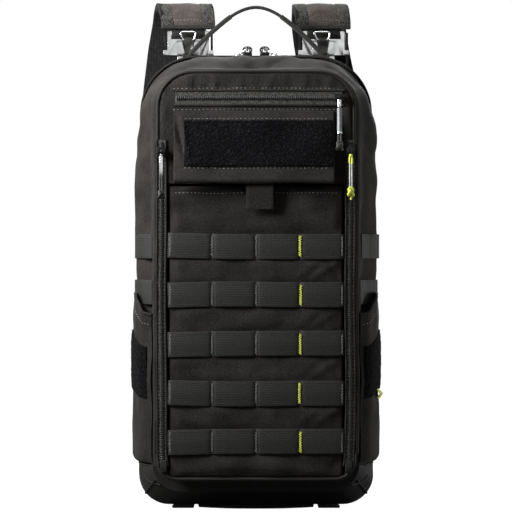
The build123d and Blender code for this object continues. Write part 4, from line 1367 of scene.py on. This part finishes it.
# %% Base webbing and the base's grab handle
strips = []
for x in (-75, 75):
    strips.append(strap(
        f"base_strip_{x}", [(x, -19, 3.6), (x, -8, 1.9), (x, 19, 1.6), (x, 46, 1.9), (x, 57, 3.6)],
        22, 2.4, (1, 0, 0), 40, 6, round_to=0.6,
    ))
dress(join(strips, "base_strips"), web_cloth, "bag", ["base_webbing"])
grab = strap(
    "base_grab", [(-59, 0, 3.2), (-44, 0, 2.4), (-20, 0, 1.7), (20, 0, 1.7), (44, 0, 2.4), (59, 0, 3.2)],
    25, 2.6, (0, 1, 0), 60, 6, round_to=0.7,
)
dress(grab, web_cloth, "bag", ["base_handle"])
tabs = [strap(f"grab_tab_{s}", [(s * 59.5, 0, 4.3), (s * 44, 0, 4.0)], 26, 1.2, (0, 1, 0), 10,
    6) for s in (-1, 1)]
dress(join(tabs, "grab_tabs"), band_cloth, "bag")
print("base done")

# %% [markdown]
# ## The back of the bag
# The wearer's side is a hinged lid. Two long foam pads and a lumbar pad, faced with spacer mesh,
# stand off it. Each pad is a slab with rounded corners, remeshed and blown up as cloth, with two
# channels sewn across it afterwards.

# %% Foam pads
def foam(name, node, x, z, channels):
    piece = box_between(name, (x[0] + 1.2, 80.6, z[0] + 1.2), (x[1] - 1.2, 87.8, z[1] - 1.2))
    middle, tall = (x[0] + x[1]) / 2, (z[1] - z[0]) / 2
    bevel_edges(
        piece, 15, 8, lambda px, py, pz: abs(py - 84.2) < 1 and abs(pz - (z[0] + z[1]) / 2) > tall - 2
    )
    bevel_edges(piece, 2.5, 3, lambda px, py, pz: py > 87.7)
    remesh(piece, 3.4)
    puff(piece, 2.2, lambda px, py, pz: ease(py, 80.8, 84))
    spots = places(piece)
    face = ease(spots[:, 1], 84, 87)
    for level in channels:
        spots[:, 1] -= 3.0 * face * np.exp(-(((spots[:, 2] - level) / 2.6) ** 2))
    put(piece, spots)
    modify(piece, "SUBSURF", levels=1, render_levels=1)
    dress(piece, knit_cloth, "back_lid", [node])
    inset = [(middle, z[0] + 7), (x[1] - 12, z[0] + 8), (x[1] - 7, z[0] + 16), (x[1] - 7, z[1] - 16),
        (x[1] - 12, z[1] - 8),
             (middle, z[1] - 7), (x[0] + 12, z[1] - 8), (x[0] + 7, z[1] - 16), (x[0] + 7, z[0] + 16),
             (x[0] + 12, z[0] + 8),
             (middle, z[0] + 7)]
    seam(f"{name}_seam", [(px, 90, pz) for px, pz in inset], grey_thread, "back_lid", piece, 4.2, (0, 1, 0))


foam("pad_left", "back_pad_left", (-96, -11), (156, 398), (216, 277, 338))
foam("pad_right", "back_pad_right", (11, 96), (156, 398), (216, 277, 338))
foam("pad_lumbar", "lumbar_pad", (-74, 74), (64, 140), (102,))
print("pads done")

# %% Frame board and hydration sleeve inside the lid
sheet = box_between("frame_board", (-94, 75, 58), (94, 77, 422))
bevel_edges(sheet, 20, 8, lambda x, y, z: abs(y - 76) < 0.1)
bevel_edges(sheet, 0.5, 2, lambda x, y, z: abs(y - 76) > 0.9)
dress(sheet, board, "back_lid", ["frame_sheet"])
sleeve = strap(
    "hydration_cloth",
    [(-97, 74.4, 194), (-96.6, 60, 194), (-93, 56.2, 194), (-50, 55.6, 194), (0, 56.4, 194),
    (50, 55.6, 194),
     (93, 56.2, 194), (96.6, 60, 194), (97, 74.4, 194)],
    268, 1.6, (0, 0, 1), 100, 60, shape=lambda u,
    v: 0.8 * np.sin(14 * u + 3 * v) * np.sin(np.pi * u) * (0.5 + v),
)
floor_flap = strap("hydration_floor", [(-96, 65, 60.4), (96, 65, 60.4)], 18, 1.6, (0, 1, 0), 30, 6)
top_hem = tube(
    "hydration_hem",
    [(-97, 74, 328), (-96.6, 61, 328), (-92, 56.4, 328), (0, 56.6, 328), (92, 56.4, 328), (96.6, 61, 328),
    (97, 74, 328)],
    1.5, 100,
)
dress(join([sleeve, floor_flap, top_hem], "hydration_sleeve_cloth"), lining_cloth, "back_lid",
    ["hydration_sleeve"])

# %% Elastic organizer loops inside the front compartment
loops = []
for k, row in enumerate((100, 170, 240)):
    loops.append(strap(
        f"organizer_{k}", [(-80, -45.4, row), (0, -45.4, row), (80, -45.4, row)], 37, 1.6, (0, 0, 1), 100,
        8,
        shape=lambda u, v: 1.1 * np.abs(np.sin(5 * np.pi * u)) ** 0.6,
    ))
dress(join(loops, "organizer_elastic"), web_cloth, "bag", ["organizer_loops"])
print("inside done")

# %% [markdown]
# ## The carry handle
# A strip of doubled webbing arches over the top. Its two ends are folded and sewn down, so they
# are thicker than the crown.

# %% The handle
handle_route = [
    (-72, 58, 468.9), (-66.2, 58, 476.5), (-44.6, 58, 497.7), (-20, 58, 516.4), (0, 58, 522.2),
    (20, 58, 516.4),
    (44.6, 58, 497.7), (66.2, 58, 476.5), (72, 58, 468.9),
]
handle = strap("handle_web", handle_route, 10, 2.7, (0, 1, 0), 90, 4, round_to=0.6)
folds = [handle]
crown = smooth_line(handle_route, 120)
out = np.cross(np.gradient(crown, axis=0), (0, 1, 0))
out /= np.linalg.norm(out, axis=1, keepdims=True)
for end in (slice(2, 42), slice(78, 118)):
    for level in (-1.5, 1.5):
        layer = (crown + out * level)[end][::3]
        folds.append(strap(f"handle_fold_{end.start}_{level}", [tuple(spot) for spot in layer], 9.6, 1.3,
            (0, 1, 0), 40, 4))
dress(join(folds, "handle_webbing"), web_cloth, "carry_handle", ["carry_handle"])

# %% [markdown]
# ## Shoulder straps
# Each strap is padded, 12 mm thick, and curls forward over the buckle at its top. Outside it is
# a brown panel between two bands of speckled binding, and against the body it is spacer mesh.
# The pad is laid along the strap's middle line. The panel and bands are thin strips laid on it.

# %% The padded straps
strap_middle = 72  # mm from the middle of the bag to each strap at its buckle
strap_line = [
    (72, 84, 505), (72, 84.0, 508), (72, 89.0, 520.0), (72, 101, 525), (72.6, 113.0, 520.0),
    (73.5, 118, 508), (80, 116.8, 470),
    (88.5, 113.4, 419), (93, 109, 330), (93, 104.9, 248), (92, 102.7, 156),
]
spread = {"left": [0, 0, 2, 5, 8, 9, 8, 5, 2, 0, 0], "right": [0, 0, -2, -4, -5, -6, -7, -5, -2, 0, 0]}
strap_widths = [57, 57, 58, 58, 58, 58, 58, 57, 54, 48, 44]


for sign, name in ((-1, "left"), (1, "right")):
    line = [(sign * (px + more), py, pz) for (px, py, pz), more in zip(strap_line, spread[name])]
    lie = (sign, 0, 0)
    pad = strap(f"strap_pad_{name}", line, strap_widths, 8.4, lie, 150, 20, round_to=3.0)
    ripple(pad, 0.7, 26, 61 + sign)
    dress(pad, knit_cloth, f"strap_{name}", [f"shoulder_strap_{name}"])
    lifted = -5.0 * sign
    face = strap(
        f"strap_face_{name}", line, [33, 33, 34, 34, 34, 34, 33, 31, 28, 25, 23], 1.6, lie, 150, 12,
        shape=lambda u, v: lifted + sign * 1.3 * (4 * v * v), round_to=0.5,
    )
    ripple(face, 0.5, 12, 71 + sign)
    dress(face, strap_cloth, f"strap_{name}")
    edges = []
    for edge in (-1, 1):
        side_line = [
            (px + sign * edge * (w / 2 - 6.4), py, pz) for (px, py, pz), w in zip(line, strap_widths)
        ]
        edges.append(strap(
            f"band_{edge}", side_line, 13, 1.8, lie, 150, 6, round_to=0.5,
            shape=lambda u, v: lifted * 0.88 + 2.0 * sign * np.clip(v * edge + 0.1, 0, 1) ** 2,
        ))
    dress(join(edges, f"strap_bands_{name}"), band_cloth, f"strap_{name}")
    top = (strap_middle * sign, 84, 0)
    hem = strap(
        f"strap_hem_{name}", [(top[0], 84, 501.6), (top[0], 84, 503.5), (top[0], 84, 505.4)], 57.4, 11.6,
        lie, 6, 20,
        round_to=1.6,
    )
    dress(hem, web_cloth, f"strap_{name}")
    seam(f"strap_hem_seam_{name}", [(top[0] - 15, 78, 511), (top[0] + 15, 78, 511)], grey_thread,
        f"strap_{name}", face, 3.2)
    arc = [(top[0] + 15 * dx, 78.5, 516 + 7.5 * (1 - dx * dx)) for dx in (-1, -0.5, 0, 0.5, 1)]
    seam(f"strap_arc_seam_{name}", arc, black_thread, f"strap_{name}", face, 3.2)
    loop = [
        (top[0], 84.9, 506), (top[0], 84.7, 496), (top[0], 86.8, 493), (top[0], 90.5, 492.3),
        (top[0], 94.2, 493),
        (top[0], 96.3, 496), (top[0], 96.1, 506),
    ]
    bar_loop = strap(f"strap_loop_{name}", loop, 35.4, 1.5, (1, 0, 0), 60, 8)
    dress(bar_loop, web_cloth, f"strap_{name}")
    tail = strap(f"lock_tail_{name}", [(92 * sign, 98.6, 143), (92 * sign, 99, 157)], 22.5, 2.6,
        (1, 0, 0), 8, 6)
    dress(tail, web_cloth, f"strap_{name}")
print("straps done")

# %% [markdown]
# ## The harness
# What stays on the lid: webbing folded through each buckle's tongue, the stubs that the carry
# handle is sewn to, the load-lifter's narrow webbing with its tapered adjuster and square ring,
# and the webbing at the bottom that each ladder lock slides on.

# %% Anchor webbing and the handle's stubs
anchors = []
for sign in (-1, 1):
    x = strap_middle * sign
    fold = [(x, 81.4, 401), (x, 81.6, 442), (x, 84.5, 454), (x, 90.5, 458.8), (x, 95.0, 457.0),
        (x, 95.0, 452.5),
            (x, 90, 450.2), (x, 85, 447.5), (x, 83.2, 436)]
    anchors.append(strap(f"anchor_{sign}", fold, 28, 1.5, (1, 0, 0), 90, 6))
    anchors.append(strap(f"stub_{sign}", [(x + sign * 4.3, 58, 459), (x + sign * 4.3, 58, 473)], 10, 2.2,
        (0, 1, 0), 8, 4))
dress(join(anchors, "anchor_bands"), web_cloth, "back_lid", ["anchor_webbing"])
for sign in (-1, 1):
    x = strap_middle * sign
    for z in (406, 430):
        seam(f"anchor_seam_{sign}_{z}", [(x - 12, 83, z), (x + 12, 83, z)], grey_thread, "back_lid",
            pitch=3.0,
             outward=(0, 1, 0))

# %% Load lifters
for sign, lean in ((-1, 0.0), (1, 0.16)):
    x = strap_middle * sign
    corners = [(-5.6, 489.8), (0, 489.3), (5.6, 489.8), (7.2, 493.5), (7.6, 497.2), (0, 497.8),
        (-7.6, 497.2), (-7.2, 493.5)]
    ring = tube(f"lifter_ring_{sign}", [(px + x, 77.4, pz) for px, pz in corners + corners[:1]], 1.15, 90,
        closed=True)
    jaw = box_between(f"lifter_adjuster_{sign}", (x - 7, 74.8, 474.6), (x + 7, 80.2, 489.4))
    edit_all(jaw)
    bpy.ops.mesh.subdivide(number_cuts=5)
    bpy.ops.object.mode_set(mode="OBJECT")
    spots = places(jaw)
    rise = np.clip((spots[:, 2] - 474.6) / 14.8, 0, 1)
    spots[:, 0] = x + (spots[:, 0] - x) * (0.45 + 0.55 * rise**0.7)
    spots[:, 1] += np.where(spots[:, 1] < 77, 1,
        -1) * 1.3 * np.cos(np.pi * (rise - 0.5)) * (np.abs(spots[:, 0] - x) < 4)
    put(jaw, spots)
    modify(jaw, "BEVEL", width=0.6 * MM, segments=3, limit_method="ANGLE", angle_limit=math.radians(50))
    lace = strap(f"lifter_web_{sign}", [(x, 79.4, 455), (x, 77.6, 466), (x, 77.4, 476)], 9.6, 1.8,
        (1, 0, 0), 20, 4)
    over = strap(f"lifter_loop_{sign}", [(x, 75.6, 484), (x, 75.2, 488), (x, 77.4, 491.8), (x, 79.6, 488),
        (x, 79.4, 484)], 8.5, 0.9, (1, 0, 0), 30, 4)
    for piece in (ring, jaw, over):
        spots = places(piece)
        shift = (spots[:, 2] - 474.6) * lean * -0.5
        put(piece, spots + np.column_stack([shift, 0 * shift, 0 * shift]))
    dress(ring, bright_alloy, "back_lid", ["lifter_hooks"])
    dress(jaw, acetal, "back_lid")
    dress(join([lace, over], f"lifter_lace_{sign}"), web_cloth, "back_lid")

# %% Lower webbing
for sign, name in ((-1, "left"), (1, "right")):
    x = 92 * sign
    low_web = strap(
        f"lower_web_{name}", [(x, 80.8, 56), (x, 88.5, 64), (x, 95.2, 74), (x, 95.3, 110), (x, 95.3, 150),
        (x, 95.3, 177.5)],
        25, 1.5, (1, 0, 0), 80, 6,
    )
    turn = strap(f"lower_turn_{name}", [(x, 96.4, 164), (x, 96.6, 170), (x, 96.4, 177.6)], 25, 1.0,
        (1, 0, 0), 12, 6)
    dress(join([low_web, turn], f"lower_webbing_{name}_band"), web_cloth, "back_lid",
        [f"lower_webbing_{name}"])
print("harness done")

# %% [markdown]
# ## Sternum straps
# A short strap hangs from a moulded clip on each shoulder strap and ends in half of a side
# release buckle. The clip grips the binding, so it slides up and down.

# %% Sternum straps
def moulded(name, low, high, soft, sink):
    """A moulded block with soft edges and a panel sunk into its outer face."""
    piece = box_between(name, low, high)
    pick(piece, "FACE", lambda x, y, z: y > high[1] - 0.1)
    bpy.ops.mesh.inset(thickness=2.4 * MM, depth=0)
    bpy.ops.mesh.inset(thickness=0.5 * MM, depth=-sink * MM)
    bpy.ops.object.mode_set(mode="OBJECT")
    return modify(piece, "BEVEL", width=soft * MM, segments=3, limit_method="ANGLE",
        angle_limit=math.radians(40))


for sign, name in ((-1, "left"), (1, "right")):
    x = sign * 50
    hang = strap(
        f"sternum_web_{name}", [(x, 120, 385), (x, 120.4, 350), (x, 120, 320)], 20, 1.7, (1, 0, 0), 50, 6,
    )
    dress(hang, web_cloth, f"sternum_strap_{name}", [f"sternum_strap_{name}"])
    ends = sorted((x - sign * 10, x + sign * 18))
    clip = moulded(f"sternum_clip_{name}", (ends[0], 118.6, 372), (ends[1], 124, 388), 1.2, 1.0)
    shell = moulded(f"sternum_buckle_{name}", (x - 13, 116, 302), (x + 13, 124, 324), 2.0, 1.2)
    prongs = [box_between(f"prong_{side}", (x + side * 8 - 2.6, 117.6, 296),
        (x + side * 8 + 2.6, 122.4, 304)) for side in (-1, 1)]
    for prong in prongs:
        bevel_edges(prong, 1.6, 3, lambda x, y, z: z < 297)
    dress(join([clip, shell] + prongs, f"sternum_fittings_{name}"), acetal, f"sternum_strap_{name}")
print("sternum straps done")

# %% [markdown]
# ## The floor
# A plain sheet of matt paper, lit from below where the camera sees it, so that it is as white
# as the surroundings all the way back but throws little light up on the bag, so that no horizon
# shows behind the bag.

# %% Floor
floor_white, paper, paper_shader, _ = finish(
    "matt_paper_floor", "pack_fabric", Roughness=0.95, Specular_IOR_Level=0.0, Emission_Color=(1, 1, 1, 1)
)
paper_shader.inputs["Base Color"].default_value = srgb("#5c5c5b")
lit = add_node(paper, "ShaderNodeLightPath")
glow = add_node(paper, "ShaderNodeMath", {1: 1.02}, {0: lit.outputs["Is Camera Ray"]}, operation="MULTIPLY")
paper.links.new(glow.outputs["Value"], paper_shader.inputs["Emission Strength"])
focus(None)
bpy.ops.mesh.primitive_plane_add(size=8, location=(0, 0, -0.0005))
floor = settle(bpy.context.object, "floor")
floor.data.materials.append(floor_white)

# %% Removing the helper shapes
for spare in (bag, dash, tooth):
    bpy.data.objects.remove(spare)
